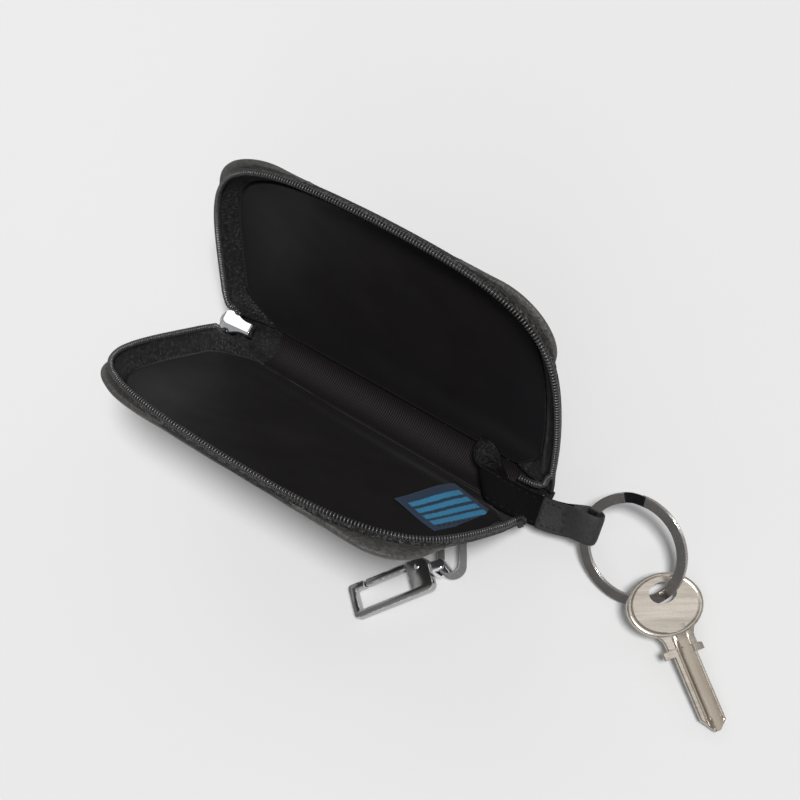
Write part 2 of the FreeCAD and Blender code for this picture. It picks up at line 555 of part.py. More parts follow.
# ------------------------------------------------------------------ check and write
doc.recompute()
bad = [o.Name for o in doc.Objects if "Invalid" in o.State or "Error" in o.State]
if bad:
    raise RuntimeError("failed objects: %s" % bad)
for o in nodes:
    s = o.Shape
    if s.isNull() or not s.isValid() or s.Volume <= 0:
        raise RuntimeError("bad shape: " + o.Label)
os.makedirs("parts", exist_ok=True)
for o in nodes:
    o.Shape.exportStep("parts/%s.step" % o.Label)
    bb = o.Shape.BoundBox
    print("%-16s solids %d vol %9.1f  x %.1f..%.1f y %.1f..%.1f z %.1f..%.1f" % (
        o.Label, len(o.Shape.Solids), o.Shape.Volume, bb.XMin, bb.XMax, bb.YMin, bb.YMax, bb.ZMin, bb.ZMax))
print("lid hinge", HINGE, "loop", LOOP_AT, "loop tangent", LOOP_T, "clip x", cx, "clip end", end, "pin", CLIP.multVec(V(PX, PY, 0)), "clip z", CLIP.Rotation.multVec(V(0, 0, 1)), "ZC", ZC)
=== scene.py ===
import bpy
import bmesh
import math
from mathutils import Vector, Matrix, noise


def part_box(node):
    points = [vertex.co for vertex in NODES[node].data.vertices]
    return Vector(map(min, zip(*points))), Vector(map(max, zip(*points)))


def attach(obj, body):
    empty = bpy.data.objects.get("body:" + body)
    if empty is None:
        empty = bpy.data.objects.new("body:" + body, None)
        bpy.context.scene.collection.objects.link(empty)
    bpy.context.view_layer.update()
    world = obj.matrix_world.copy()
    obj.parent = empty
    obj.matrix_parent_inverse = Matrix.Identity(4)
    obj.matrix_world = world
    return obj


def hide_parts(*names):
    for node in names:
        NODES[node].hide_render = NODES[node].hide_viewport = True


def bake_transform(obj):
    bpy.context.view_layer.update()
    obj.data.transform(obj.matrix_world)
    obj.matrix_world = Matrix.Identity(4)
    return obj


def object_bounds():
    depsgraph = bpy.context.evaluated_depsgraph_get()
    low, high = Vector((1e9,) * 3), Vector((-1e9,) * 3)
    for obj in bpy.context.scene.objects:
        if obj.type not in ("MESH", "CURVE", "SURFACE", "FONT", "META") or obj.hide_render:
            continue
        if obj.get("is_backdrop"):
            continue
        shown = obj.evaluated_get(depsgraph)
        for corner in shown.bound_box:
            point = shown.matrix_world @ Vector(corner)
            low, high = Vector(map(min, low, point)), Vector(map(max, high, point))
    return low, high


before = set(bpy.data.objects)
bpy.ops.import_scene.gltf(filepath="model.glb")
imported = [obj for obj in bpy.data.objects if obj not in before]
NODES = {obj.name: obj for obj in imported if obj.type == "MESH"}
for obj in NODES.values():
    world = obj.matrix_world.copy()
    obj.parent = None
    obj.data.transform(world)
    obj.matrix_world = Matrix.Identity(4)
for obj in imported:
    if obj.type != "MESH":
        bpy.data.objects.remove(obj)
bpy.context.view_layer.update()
MM = 0.001

# ---------------------------------------------------------------- frame of the two halves (mm)
LEAN = math.radians(59.6)
HINGE = Vector((0, 0, 8.6))
E = {"lower": Vector((0, -math.cos(LEAN), math.sin(LEAN))), "upper": Vector((0, math.cos(LEAN), math.sin(LEAN)))}
OUT = {"lower": Vector((0, -math.sin(LEAN), -math.cos(LEAN))), "upper": Vector((0, math.sin(LEAN), -math.cos(LEAN)))}
BODY = {"lower": "front_half", "upper": "back_half"}


def hp(side, u, w, zo):
    """Point of a half: u along the spine, w from the hinge line to the free edge, zo outwards."""
    return HINGE + Vector((u, 0, 0)) + E[side] * w + OUT[side] * zo


def smooth(a, b, x):
    t = min(1.0, max(0.0, (x - a) / (b - a)))
    return t * t * (3 - 2 * t)


def lerp(a, b, t):
    return a + (b - a) * t


def wob(p, size, seed=0.0):
    """Smooth noise, -1 to 1, for a point in mm."""
    return noise.noise(Vector(p) / size + Vector((seed, seed * 1.7, -seed)))


# ---------------------------------------------------------------- mesh helpers
def make(name, verts, faces, uvs=None, mat=None, shade=True):
    me = bpy.data.meshes.new(name)
    me.from_pydata([(v[0] * MM, v[1] * MM, v[2] * MM) for v in verts], [], faces)
    if uvs is not None:
        layer = me.uv_layers.new(name="UVMap")
        for loop in me.loops:
            layer.data[loop.index].uv = uvs[loop.vertex_index]
    me.update()
    ob = bpy.data.objects.new(name, me)
    bpy.context.collection.objects.link(ob)
    if mat is not None:
        me.materials.append(mat)
    bm = bmesh.new()
    bm.from_mesh(me)
    bmesh.ops.remove_doubles(bm, verts=bm.verts, dist=2e-7)
    bmesh.ops.recalc_face_normals(bm, faces=bm.faces)
    bm.to_mesh(me)
    bm.free()
    me.polygons.foreach_set("use_smooth", [shade] * len(me.polygons))
    return ob


def rows_faces(n, m, close_n=False, close_m=False, base=0):
    out = []
    for i in range(n if close_n else n - 1):
        for j in range(m if close_m else m - 1):
            a, b = i * m + j, ((i + 1) % n) * m + j
            c, d = ((i + 1) % n) * m + (j + 1) % m, i * m + (j + 1) % m
            out.append((base + a, base + b, base + c, base + d))
    return out


def grid(name, rows, mat, uv=None, close_n=False, close_m=False, cap=False):
    """Skin over rows of points; uv(i, j) in mm."""
    n, m = len(rows), len(rows[0])
    verts = [p for r in rows for p in r]
    faces = rows_faces(n, m, close_n, close_m)
    if cap:
        faces.append(tuple(range(m - 1, -1, -1)))
        faces.append(tuple((n - 1) * m + j for j in range(m)))
    uvs = [uv(i, j) if uv else (i, j) for i in range(n) for j in range(m)]
    return make(name, verts, faces, uvs, mat)


def solid(ob, thick, offset=-1.0):
    """Gives a skin its thickness and makes it the mesh."""
    mod = ob.modifiers.new("thick", "SOLIDIFY")
    mod.thickness = thick * MM
    mod.offset = offset
    return settle(ob)


def settle(ob):
    dg = bpy.context.evaluated_depsgraph_get()
    me = bpy.data.meshes.new_from_object(ob.evaluated_get(dg))
    old = ob.data
    ob.modifiers.clear()
    ob.data = me
    bpy.data.meshes.remove(old)
    return ob


def join(name, obs):
    """One object from several, each with its own material kept."""
    bpy.ops.object.select_all(action="DESELECT")
    for o in obs:
        o.select_set(True)
    bpy.context.view_layer.objects.active = obs[0]
    bpy.ops.object.join()
    obs[0].name = name
    return obs[0]


def resample(pts, step):
    """Points at an even step along a polyline."""
    d = [0.0]
    for a, b in zip(pts, pts[1:]):
        d.append(d[-1] + (b - a).length)
    n = max(2, round(d[-1] / step))
    out, k = [], 0
    for i in range(n + 1):
        s = d[-1] * i / n
        while k < len(d) - 2 and d[k + 1] < s:
            k += 1
        seg = d[k + 1] - d[k]
        out.append(pts[k].lerp(pts[k + 1], (s - d[k]) / seg if seg > 1e-9 else 0.0))
    return out


def spline(pts, per=12):
    """Catmull-Rom curve through the points."""
    p = [pts[0] * 2 - pts[1]] + list(pts) + [pts[-1] * 2 - pts[-2]]
    out = []
    for i in range(1, len(p) - 2):
        for k in range(per):
            t = k / per
            a, b, c, d = p[i - 1], p[i], p[i + 1], p[i + 2]
            out.append(0.5 * ((2 * b) + (c - a) * t + (2 * a - 5 * b + 4 * c - d) * t * t + (3 * b - a - 3 * c + d) * t ** 3))
    out.append(p[-2])
    return out


def tube(name, pts, r, sides, mat, caps=True, taper=None):
    n = len(pts)
    tang = [(pts[min(i + 1, n - 1)] - pts[max(i - 1, 0)]).normalized() for i in range(n)]
    ref = Vector((0, 0, 1)) if abs(tang[0].z) < 0.9 else Vector((1, 0, 0))
    nor = (ref - tang[0] * ref.dot(tang[0])).normalized()
    rows = []
    for i in range(n):
        nor = (nor - tang[i] * nor.dot(tang[i])).normalized()
        bi = tang[i].cross(nor)
        k = r * (taper(i / (n - 1)) if taper else 1.0)
        rows.append([pts[i] + nor * (k * math.cos(2 * math.pi * j / sides)) + bi * (k * math.sin(2 * math.pi * j / sides)) for j in range(sides)])
    return grid(name, rows, mat, uv=lambda i, j: (i * 0.1, j / sides), close_m=True, cap=caps)


def stitches(name, runs, mat, long=2.0, gap=0.75, r=0.19, sink=0.06):
    """Thread stitches: each run is a list of (point, up) along a seam."""
    verts, faces = [], []
    for run in runs:
        d = [0.0]
        for a, b in zip(run, run[1:]):
            d.append(d[-1] + (b[0] - a[0]).length)

        def at(s):
            k = 0
            while k < len(d) - 2 and d[k + 1] < s:
                k += 1
            f = (s - d[k]) / max(1e-9, d[k + 1] - d[k])
            return run[k][0].lerp(run[k + 1][0], f), run[k][1].lerp(run[k + 1][1], f).normalized()

        s = gap / 2
        while s + long < d[-1]:
            ring = []
            for k in range(7):
                t = k / 6
                p, up = at(s + long * t)
                q, _ = at(min(d[-1], s + long * t + 0.05))
                tg = (q - p).normalized() if (q - p).length > 1e-6 else (at(s + long * t)[0] - at(max(0, s + long * t - 0.05))[0]).normalized()
                sd = tg.cross(up).normalized()
                arch = math.sin(math.pi * t)
                c = p + up * (r * 0.55 * arch - sink - r * 0.9 * (1 - arch) ** 2)
                rr = r * (0.55 + 0.45 * math.sqrt(max(0, arch)))
                ring.append([c + sd * (rr * math.cos(2 * math.pi * j / 6)) + up * (rr * 0.8 * math.sin(2 * math.pi * j / 6)) for j in range(6)])
            base = len(verts)
            verts += [p for rg in ring for p in rg]
            faces += rows_faces(7, 6, close_m=True, base=base)
            faces.append(tuple(base + j for j in range(5, -1, -1)))
            faces.append(tuple(base + 36 + j for j in range(6)))
            s += long + gap
    return make(name, verts, faces, [(0, 0)] * len(verts), mat)


# ---------------------------------------------------------------- materials
def new_mat(name):
    m = bpy.data.materials.new(name)
    m.use_nodes = True
    nt = m.node_tree
    b = nt.nodes["Principled BSDF"]
    return m, nt, b


class Nodes:
    """Short forms for building node trees."""

    def __init__(self, nt):
        self.nt = nt

    def n(self, kind, **kw):
        x = self.nt.nodes.new(kind)
        for k, v in kw.items():
            setattr(x, k, v)
        return x

    def put(self, socket, v):
        if isinstance(v, bpy.types.NodeSocket):
            self.nt.links.new(v, socket)
        elif v is not None:
            socket.default_value = v

    def math(self, op, a, b=0.5, c=None, clamp=False):
        x = self.n("ShaderNodeMath", operation=op)
        x.use_clamp = clamp
        self.put(x.inputs[0], a)
        self.put(x.inputs[1], b)
        if c is not None:
            self.put(x.inputs[2], c)
        return x.outputs[0]

    def obj(self):
        return self.n("ShaderNodeTexCoord").outputs["Object"]

    def uv(self):
        return self.n("ShaderNodeTexCoord").outputs["UV"]

    def xyz(self, v):
        s = self.n("ShaderNodeSeparateXYZ")
        self.put(s.inputs[0], v)
        return s.outputs

    def scale(self, v, k):
        x = self.n("ShaderNodeVectorMath", operation="MULTIPLY")
        self.put(x.inputs[0], v)
        x.inputs[1].default_value = k if hasattr(k, "__len__") else (k, k, k)
        return x.outputs[0]

    def noise(self, vec, scale, detail=3.0, rough=0.55, distort=0.0):
        x = self.n("ShaderNodeTexNoise")
        self.put(x.inputs["Vector"], vec)
        x.inputs["Scale"].default_value = scale
        x.inputs["Detail"].default_value = detail
        x.inputs["Roughness"].default_value = rough
        x.inputs["Distortion"].default_value = distort
        return x.outputs["Fac"]

    def voronoi(self, vec, scale, feature="F1", smoothness=None):
        x = self.n("ShaderNodeTexVoronoi", feature=feature)
        self.put(x.inputs["Vector"], vec)
        x.inputs["Scale"].default_value = scale
        if smoothness is not None and "Smoothness" in x.inputs:
            x.inputs["Smoothness"].default_value = smoothness
        return x.outputs["Distance"]

    def ramp(self, fac, stops):
        x = self.n("ShaderNodeValToRGB")
        self.put(x.inputs[0], fac)
        el = x.color_ramp.elements
        while len(el) < len(stops):
            el.new(0.5)
        for e, (p, c) in zip(el, stops):
            e.position = p
            e.color = (*c, 1.0) if hasattr(c, "__len__") else (c, c, c, 1.0)
        return x.outputs["Color"]

    def mix(self, fac, a, b):
        x = self.n("ShaderNodeMix", data_type="RGBA")
        self.put(x.inputs["Factor"], fac)
        self.put(x.inputs["A"], (*a, 1.0) if isinstance(a, tuple) else a)
        self.put(x.inputs["B"], (*b, 1.0) if isinstance(b, tuple) else b)
        return x.outputs["Result"]

    def span(self, v, a, b, c, d):
        x = self.n("ShaderNodeMapRange")
        self.put(x.inputs["Value"], v)
        for k, val in zip(("From Min", "From Max", "To Min", "To Max"), (a, b, c, d)):
            x.inputs[k].default_value = val
        return x.outputs["Result"]

    def bump(self, height, strength, dist, normal=None):
        x = self.n("ShaderNodeBump")
        x.inputs["Strength"].default_value = strength
        x.inputs["Distance"].default_value = dist
        self.put(x.inputs["Height"], height)
        if normal is not None:
            self.put(x.inputs["Normal"], normal)
        return x.outputs["Normal"]


def leather(name, dark, light, grain, strength, rough, spec=0.42):
    """Fine pebble grain with faint creases and a little colour drift. grain is cells per metre."""
    m, nt, b = new_mat(name)
    k = Nodes(nt)
    p = k.obj()
    cells = k.voronoi(p, grain, "SMOOTH_F1", 0.35)
    edge = k.voronoi(p, grain, "DISTANCE_TO_EDGE")
    fine = k.noise(p, grain * 2.6, 2.0)
    broad = k.noise(p, 90.0, 3.0)
    crease = k.noise(p, 420.0, 4.0, 0.6, 0.6)
    height = k.math("ADD", k.math("MULTIPLY", k.math("MINIMUM", edge, 0.22), 3.2), k.math("MULTIPLY", fine, 0.35))
    height = k.math("ADD", height, k.math("MULTIPLY", crease, 0.5))
    fac = k.math("ADD", k.math("MULTIPLY", cells, 0.9), k.math("MULTIPLY", broad, 0.55), clamp=True)
    k.put(b.inputs["Base Color"], k.mix(fac, dark, light))
    k.put(b.inputs["Roughness"], k.span(k.math("ADD", k.math("MULTIPLY", broad, 0.6), k.math("MULTIPLY", edge, 1.2)), 0.2, 0.9, rough + 0.1, rough - 0.08))
    b.inputs["Specular IOR Level"].default_value = spec
    k.put(b.inputs["Normal"], k.bump(height, strength, 0.00012))
    return m


def lining_mat():
    m, nt, b = new_mat("lining_cloth")
    k = Nodes(nt)
    uv = k.uv()
    s = k.xyz(uv)
    warp = k.math("SINE", k.math("MULTIPLY", s[0], 2 * math.pi / 0.34))
    weft = k.math("SINE", k.math("MULTIPLY", s[1], 2 * math.pi / 0.34))
    weave = k.math("MULTIPLY", warp, weft)
    drift = k.noise(k.obj(), 55.0, 3.0)
    slub = k.noise(k.scale(uv, (0.25, 3.0, 1.0)), 1.0, 2.0)
    fac = k.math("ADD", k.math("MULTIPLY", drift, 0.8), k.math("MULTIPLY", slub, 0.3), clamp=True)
    k.put(b.inputs["Base Color"], k.mix(fac, (0.0036, 0.0029, 0.0034), (0.0072, 0.0058, 0.0066)))
    k.put(b.inputs["Roughness"], k.span(drift, 0.3, 0.7, 0.50, 0.62))
    b.inputs["Specular IOR Level"].default_value = 0.16
    b.inputs["Sheen Weight"].default_value = 0.03
    b.inputs["Sheen Roughness"].default_value = 0.4
    h = k.math("ADD", k.math("MULTIPLY", weave, 0.5), k.math("MULTIPLY", slub, 0.5))
    k.put(b.inputs["Normal"], k.bump(h, 0.25, 0.00005))
    return m


def tape_mat(name, f):
    """Herringbone woven tape with paler thread ends; f scales how pale."""
    m, nt, b = new_mat(name)
    k = Nodes(nt)
    s = k.xyz(k.uv())
    zig = k.math("PINGPONG", s[1], 1.1)
    diag = k.math("SINE", k.math("MULTIPLY", k.math("ADD", s[0], zig), 2 * math.pi / 0.80))
    thread = k.math("SINE", k.math("MULTIPLY", s[0], 2 * math.pi / 0.27))
    fleck = k.noise(k.obj(), 1100.0, 3.0, 0.7)
    h = k.math("ADD", k.math("MULTIPLY", diag, 0.5), k.math("MULTIPLY", thread, 0.28))
    fac = k.math("ADD", k.math("MULTIPLY", k.span(h, -0.7, 0.7, 0.0, 1.0), 0.34), k.span(fleck, 0.32, 0.68, 0.0, 0.62), clamp=True)
    k.put(b.inputs["Base Color"], k.ramp(fac, [(0.30, (0.0012, 0.0011, 0.0011)), (0.56, (0.0075 * f, 0.0070 * f, 0.0070 * f)), (0.80, (0.045 * f, 0.043 * f, 0.042 * f))]))
    b.inputs["Roughness"].default_value = 0.66
    b.inputs["Specular IOR Level"].default_value = 0.2
    b.inputs["Sheen Weight"].default_value = 0.03
    k.put(b.inputs["Normal"], k.bump(h, 0.7, 0.00010))
    return m


def ribbon_mat():
    """Grosgrain: ribs across the strip, with a broken thread along each rib."""
    m, nt, b = new_mat("grosgrain")
    k = Nodes(nt)
    s = k.xyz(k.uv())
    rib = k.math("SINE", k.math("MULTIPLY", s[0], 2 * math.pi / 0.78))
    tick = k.math("SINE", k.math("MULTIPLY", s[1], 2 * math.pi / 0.42))
    fleck = k.noise(k.obj(), 1500.0, 3.0)
    h = k.math("ADD", k.math("MULTIPLY", rib, 0.7), k.math("MULTIPLY", tick, 0.2))
    fac = k.math("ADD", k.span(h, -0.8, 0.8, 0.0, 0.7), k.math("MULTIPLY", fleck, 0.45), clamp=True)
    k.put(b.inputs["Base Color"], k.ramp(fac, [(0.15, (0.0022, 0.0017, 0.0019)), (0.65, (0.0068, 0.0054, 0.0060)), (1.0, (0.015, 0.0126, 0.0135))]))
    b.inputs["Roughness"].default_value = 0.66
    b.inputs["Specular IOR Level"].default_value = 0.16
    k.put(b.inputs["Normal"], k.bump(h, 0.7, 0.00012))
    return m


def nylon_mat(name, g):
    m, nt, b = new_mat(name)
    k = Nodes(nt)
    f = k.noise(k.obj(), 900.0, 2.0)
    k.put(b.inputs["Base Color"], k.mix(f, tuple(g * c for c in (0.014, 0.014, 0.015)), tuple(g * c for c in (0.040, 0.040, 0.042))))
    k.put(b.inputs["Roughness"], k.span(f, 0.3, 0.7, 0.24, 0.38))
    b.inputs["Specular IOR Level"].default_value = 0.6 * g
    k.put(b.inputs["Normal"], k.bump(f, 0.15, 0.00003))
    return m


def thread_mat(name, col):
    m, nt, b = new_mat(name)
    k = Nodes(nt)
    f = k.noise(k.obj(), 3500.0, 2.0)
    k.put(b.inputs["Base Color"], k.mix(f, tuple(c * 0.6 for c in col), tuple(min(1, c * 1.5) for c in col)))
    b.inputs["Roughness"].default_value = 0.6
    b.inputs["Specular IOR Level"].default_value = 0.12
    k.put(b.inputs["Normal"], k.bump(f, 0.5, 0.00005))
    return m


def label_mat():
    """Navy damask weave with four plain paler bars. UV in mm, y across the bars."""
    m, nt, b = new_mat("label_weave")
    k = Nodes(nt)
    uv = k.uv()
    s = k.xyz(uv)
    thread = k.math("SINE", k.math("MULTIPLY", s[0], 2 * math.pi / 0.30))
    pick = k.math("SINE", k.math("MULTIPLY", s[1], 2 * math.pi / 0.24))
    weave = k.math("MULTIPLY", thread, pick)
    fray = k.noise(k.scale(uv, (2.4, 0.9, 1.0)), 1.0, 2.0)
    bars = None
    for mid, half in ((4.0, 1.15), (7.3, 1.0), (10.6, 1.0), (13.9, 1.05)):
        d = k.math("ABSOLUTE", k.math("SUBTRACT", s[1], mid))
        d = k.math("ADD", d, k.math("MULTIPLY", k.math("SUBTRACT", fray, 0.5), 0.9))
        one = k.span(d, half - 0.12, half + 0.12, 1.0, 0.0)
        bars = one if bars is None else k.math("MAXIMUM", bars, one)
    inside = k.math("MULTIPLY", k.span(s[0], 2.0, 2.5, 0.0, 1.0), k.span(s[0], 25.4, 26.0, 1.0, 0.0))
    bars = k.math("MULTIPLY", bars, inside, clamp=True)
    speck = k.span(k.noise(k.scale(uv, (1.9, 3.2, 1.0)), 1.6, 2.0), 0.36, 0.62, 0.25, 1.0)
    bars = k.math("MULTIPLY", bars, speck, clamp=True)
    ground = k.mix(k.span(weave, -1.0, 1.0, 0.0, 1.0), (0.009, 0.017, 0.033), (0.024, 0.042, 0.072))
    k.put(b.inputs["Base Color"], k.mix(bars, ground, (0.034, 0.225, 0.40)))
    b.inputs["Roughness"].default_value = 0.5
    b.inputs["Specular IOR Level"].default_value = 0.2
    b.inputs["Sheen Weight"].default_value = 0.04
    h = k.math("ADD", k.math("MULTIPLY", weave, 0.4), k.math("MULTIPLY", bars, 0.8))
    k.put(b.inputs["Normal"], k.bump(h, 0.5, 0.00007))
    return m


def metal(name, col, rub_and_glint_col, rough, scratch=1.0, rub_and_glint=0.0, grain=None, size=0.00045, bumpy=0.05, solid_metal=1.0):
    """Plated metal: fine scratches, roughness drift and lighter edges, partly rubbed plating and partly a painted
    highlight.
    """
    m, nt, b = new_mat(name)
    k = Nodes(nt)
    p = k.obj()
    b.inputs["Metallic"].default_value = solid_metal
    drift = k.noise(p, 260.0, 3.0)
    lines = k.noise(k.scale(p, grain or (900.0, 160.0, 400.0)), 6.0, 3.0, 0.6)
    fac = k.math("ADD", k.math("MULTIPLY", lines, 0.5), k.math("MULTIPLY", drift, 0.5))
    base = k.mix(fac, tuple(c * 0.84 for c in col), tuple(min(1, c * 1.14) for c in col))
    # edges from a bevel mask, broken by noise, are mixed towards a pale colour: partly rubbed plating, partly painted
    # highlight
    if rub_and_glint:
        bev = k.n("ShaderNodeBevel", samples=4)
        bev.inputs["Radius"].default_value = size
        geo = k.n("ShaderNodeNewGeometry")
        dot = k.n("ShaderNodeVectorMath", operation="DOT_PRODUCT")
        k.put(dot.inputs[0], bev.outputs[0])
        k.put(dot.inputs[1], geo.outputs["Normal"])
        edge = k.span(dot.outputs["Value"], 0.995, 0.90, 0.0, 1.0)
        chip = k.span(k.noise(p, 700.0, 4.0, 0.65), 0.38, 0.62, 0.0, 1.0)
        edge = k.math("MULTIPLY", k.math("MULTIPLY", edge, chip), rub_and_glint, clamp=True)
        base = k.mix(edge, base, rub_and_glint_col)
        k.put(b.inputs["Metallic"], k.span(edge, 0.0, 1.0, solid_metal, 0.35))
    k.put(b.inputs["Base Color"], base)
    k.put(b.inputs["Roughness"], k.span(fac, 0.3, 0.7, max(0.03, rough - 0.05), rough + 0.07))
    k.put(b.inputs["Normal"], k.bump(lines, bumpy * scratch, 0.00003))
    return m


M_LEATHER = leather("case_leather_grain", (0.0055, 0.0053, 0.0049), (0.056, 0.0546, 0.0518), 900.0, 1.1, 0.50)
# the strap's run is a far darker copy of the flap's leather: painted shade on the part inside the case
M_STRAP_SHADED = leather("strap_leather_painted_shade", (0.0009, 0.0008, 0.0010), (0.0028, 0.0026, 0.0031), 1900.0, 0.6, 0.62, 0.06)
M_FLAP = leather("strap_flap_grain", (0.0075, 0.0072, 0.0078), (0.026, 0.0250, 0.0265), 1700.0, 0.6, 0.56, 0.25)
# the loop's leather is pale grey: painted sheen on the leather
M_LOOP_SHEEN = leather("loop_leather_painted_sheen", (0.042, 0.041, 0.042), (0.15, 0.148, 0.15), 1500.0, 0.6, 0.40, 0.45)
M_LINING = lining_mat()
M_TAPE = tape_mat("zip_tape_weave", 1.0)
# a darker copy of the weave for the tape's ends down in the spine: painted shade
M_TAPE_END_SHADED = tape_mat("zip_tape_end_painted_shade", 0.5)
M_TAPE_OUT = tape_mat("zip_tape_outside", 2.3)
M_TAPE_TUCK = tape_mat("zip_tape_tucked", 0.2)
M_RIBBON = ribbon_mat()
M_COIL = nylon_mat("coil_nylon", 1.0)
# a darker copy of the nylon for the coil's end under the strap: painted shade
M_COIL_SHADED = nylon_mat("coil_nylon_painted_shade", 0.3)
M_THREAD = thread_mat("black_thread", (0.013, 0.013, 0.014))
# thread for the lining seam, darker than the black thread elsewhere: painted shade in the crease
M_SEAM_SHADED = thread_mat("seam_thread_painted_shade", (0.0035, 0.0033, 0.0034))
# thread on the strap's run, darker than the black thread elsewhere: painted shade
M_SEW_SHADED = thread_mat("strap_thread", (0.0048, 0.0046, 0.005))
# the strap's root, as dark as its run: painted shade inside the case
M_ROOT_SHADED = leather("root_leather_painted_shade", (0.0010, 0.0009, 0.0010), (0.0036, 0.0033, 0.0036), 1900.0, 0.9, 0.46, 0.13)
M_LABEL = label_mat()
M_CHROME = metal("polished_chrome", (0.80, 0.81, 0.83), (0.95, 0.95, 0.96), 0.08, bumpy=0.02)
# the ring's lighter edges are partly rubbed plating, partly painted highlight
M_RING = metal("gunmetal_ring", (0.36, 0.342, 0.33), (0.60, 0.58, 0.56), 0.24, rub_and_glint=0.3)
KX, KY = Vector((0.79319, -0.59638, -0.12317)), Vector((0.47596, 0.7333, -0.48552))


def key_mat(name, across, dark, light, rough):
    """Nickel brushed one way: broad bands and fine lines square to the direction across."""
    m, nt, b = new_mat(name)
    k = Nodes(nt)
    p = k.obj()
    n_ = KX.cross(KY)
    comb = k.n("ShaderNodeCombineXYZ")
    for i, v in enumerate((across, n_.cross(across), n_)):
        d_ = k.n("ShaderNodeVectorMath", operation="DOT_PRODUCT")
        k.put(d_.inputs[0], p)
        d_.inputs[1].default_value = tuple(v)
        k.put(comb.inputs[i], d_.outputs["Value"])
    q = comb.outputs[0]
    bands = k.noise(k.scale(q, (430.0, 26.0, 100.0)), 1.0, 2.5, 0.6)
    brush = k.noise(k.scale(q, (6200.0, 240.0, 400.0)), 1.0, 3.0, 0.6)
    drift = k.noise(p, 300.0, 3.0)
    fac = k.math("ADD", k.math("MULTIPLY", k.span(bands, 0.34, 0.66, 0.0, 1.0), 0.72), k.math("MULTIPLY", k.math("ADD", brush, drift), 0.16), clamp=True)
    k.put(b.inputs["Base Color"], k.mix(fac, dark, light))
    b.inputs["Metallic"].default_value = 0.95
    k.put(b.inputs["Roughness"], k.span(brush, 0.3, 0.7, rough - 0.05, rough + 0.08))
    k.put(b.inputs["Normal"], k.bump(brush, 0.10, 0.00003))
    return m


M_KEY = key_mat("nickel_key", (KX * 0.961 - KY * 0.276).normalized(), (0.36, 0.325, 0.28), (0.58, 0.525, 0.46), 0.26)
M_MILL = key_mat("nickel_key_milled", KY, (0.27, 0.235, 0.195), (0.44, 0.385, 0.32), 0.30)
# near-black copy of the gunmetal for the ring's step at its gap: painted shade and reflection
M_RING_STEP_SHADE = metal("gunmetal_ring_step_painted_shade", (0.035, 0.035, 0.040), (0.2, 0.2, 0.2), 0.30)
# the clip's edges go almost white: partly rubbed plating, partly painted highlight along the bevels
M_CLIP = metal("gunmetal_clip", (0.42, 0.412, 0.41), (0.92, 0.91, 0.90), 0.14, rub_and_glint=1.0, size=0.0007, bumpy=0.2)

# ---------------------------------------------------------------- rim of a half
# half width of the zip slider along its length, and its turn in plan
HALF_WIDE = [(0.0, 0.30), (0.12, 1.02), (0.40, 1.85), (0.9, 2.62), (1.7, 3.28), (2.7, 3.66), (3.8, 3.78), (4.9, 3.62), (6.0, 3.16), (7.2, 2.60), (8.4, 2.22), (9.6, 2.04), (10.8, 2.00), (11.75, 1.98), (12.0, 1.80)]
SKEW = math.radians(4.5)


def beside_slider(side, p, gap):
    """Moves a point of the tape or coil out from under the slider's cap to its flank."""
    c, s_ = math.cos(SKEW), math.sin(SKEW)
    dx, dy = p.x + 66.0, p.y - 0.05
    x, y = dx * c + dy * s_, dy * c - dx * s_
    if not -0.6 < x < 12.4 or p.z < 6.8 or p.z > 12.5:
        return p
    h = HALF_WIDE[0][1]
    for (a_, b_), (c_, d_) in zip(HALF_WIDE, HALF_WIDE[1:]):
        if a_ <= x <= c_:
            h = lerp(b_, d_, (x - a_) / (c_ - a_))
    sign = 1.0 if side == "upper" else -1.0
    want = h + gap
    if sign * y >= want:
        return p
    y = lerp(y, sign * want, smooth(6.8, 7.5, p.z) * smooth(12.5, 10.8, p.z))
    return Vector((-66.0 + x * c - y * s_, 0.05 + x * s_ + y * c, p.z))

RU, RW, WR, PW = 106.056, 68.884, 74.745, 5.2913


def rim_line(side):
    """The zip's line in (u, w), from the spine up the left end, along the free edge and down the right end."""
    left = [Vector((-64.0, 0.0)), Vector((-64.0, 3.0)), Vector((-64.0, 5.861))]
    for i in range(1, 1600):
        f = math.pi / 2 * (i / 1600) ** 1.6
        u = -64 + RU * (1 - math.cos(f) ** (2 / PW))
        if u > -0.01:
            break
        left.append(Vector((u, WR - RW + RW * math.sin(f) ** (2 / PW))))
    right = []
    for p in reversed(left):
        u, w = -p.x, p.y
        if side == "upper":
            u -= 3.0 * max(0.0, (32 - w) / 32) ** 2
        else:
            u -= 6.6 * smooth(13.5, 0.0, w)
        right.append(Vector((u, w)))
    if side == "lower":
        n = len(right)
        nor = []
        for i in range(n):
            t = (right[min(i + 3, n - 1)] - right[max(i - 3, 0)]).normalized()
            nor.append(Vector((-t.y, t.x)))
        right = [p - nor[i] * tight(p.x, p.y) for i, p in enumerate(right)]
    draw = 1.7 if side == "upper" else 0.5
    return [Vector((p.x + draw * smooth(13.0, 1.0, p.y), p.y)) for p in left] + right


def tight(u, w):
    """The lower half's right corner is rounder than the others: how far its line is drawn in."""
    pts = [(0, 1.2), (14, 1.2), (24, 0.9), (31, 1.3), (39, 2.0), (44, 2.4), (50, 2.7), (60, 2.8)] if w < 60 else [(20, 0.0), (35, 0.6), (45, 1.7), (52, 2.5), (58, 2.8)]
    x = w if w < 60 else u
    if x <= pts[0][0]:
        return pts[0][1]
    for (a_, b_), (c_, d_) in zip(pts, pts[1:]):
        if x <= c_:
            return lerp(b_, d_, (x - a_) / (c_ - a_))
    return pts[-1][1]


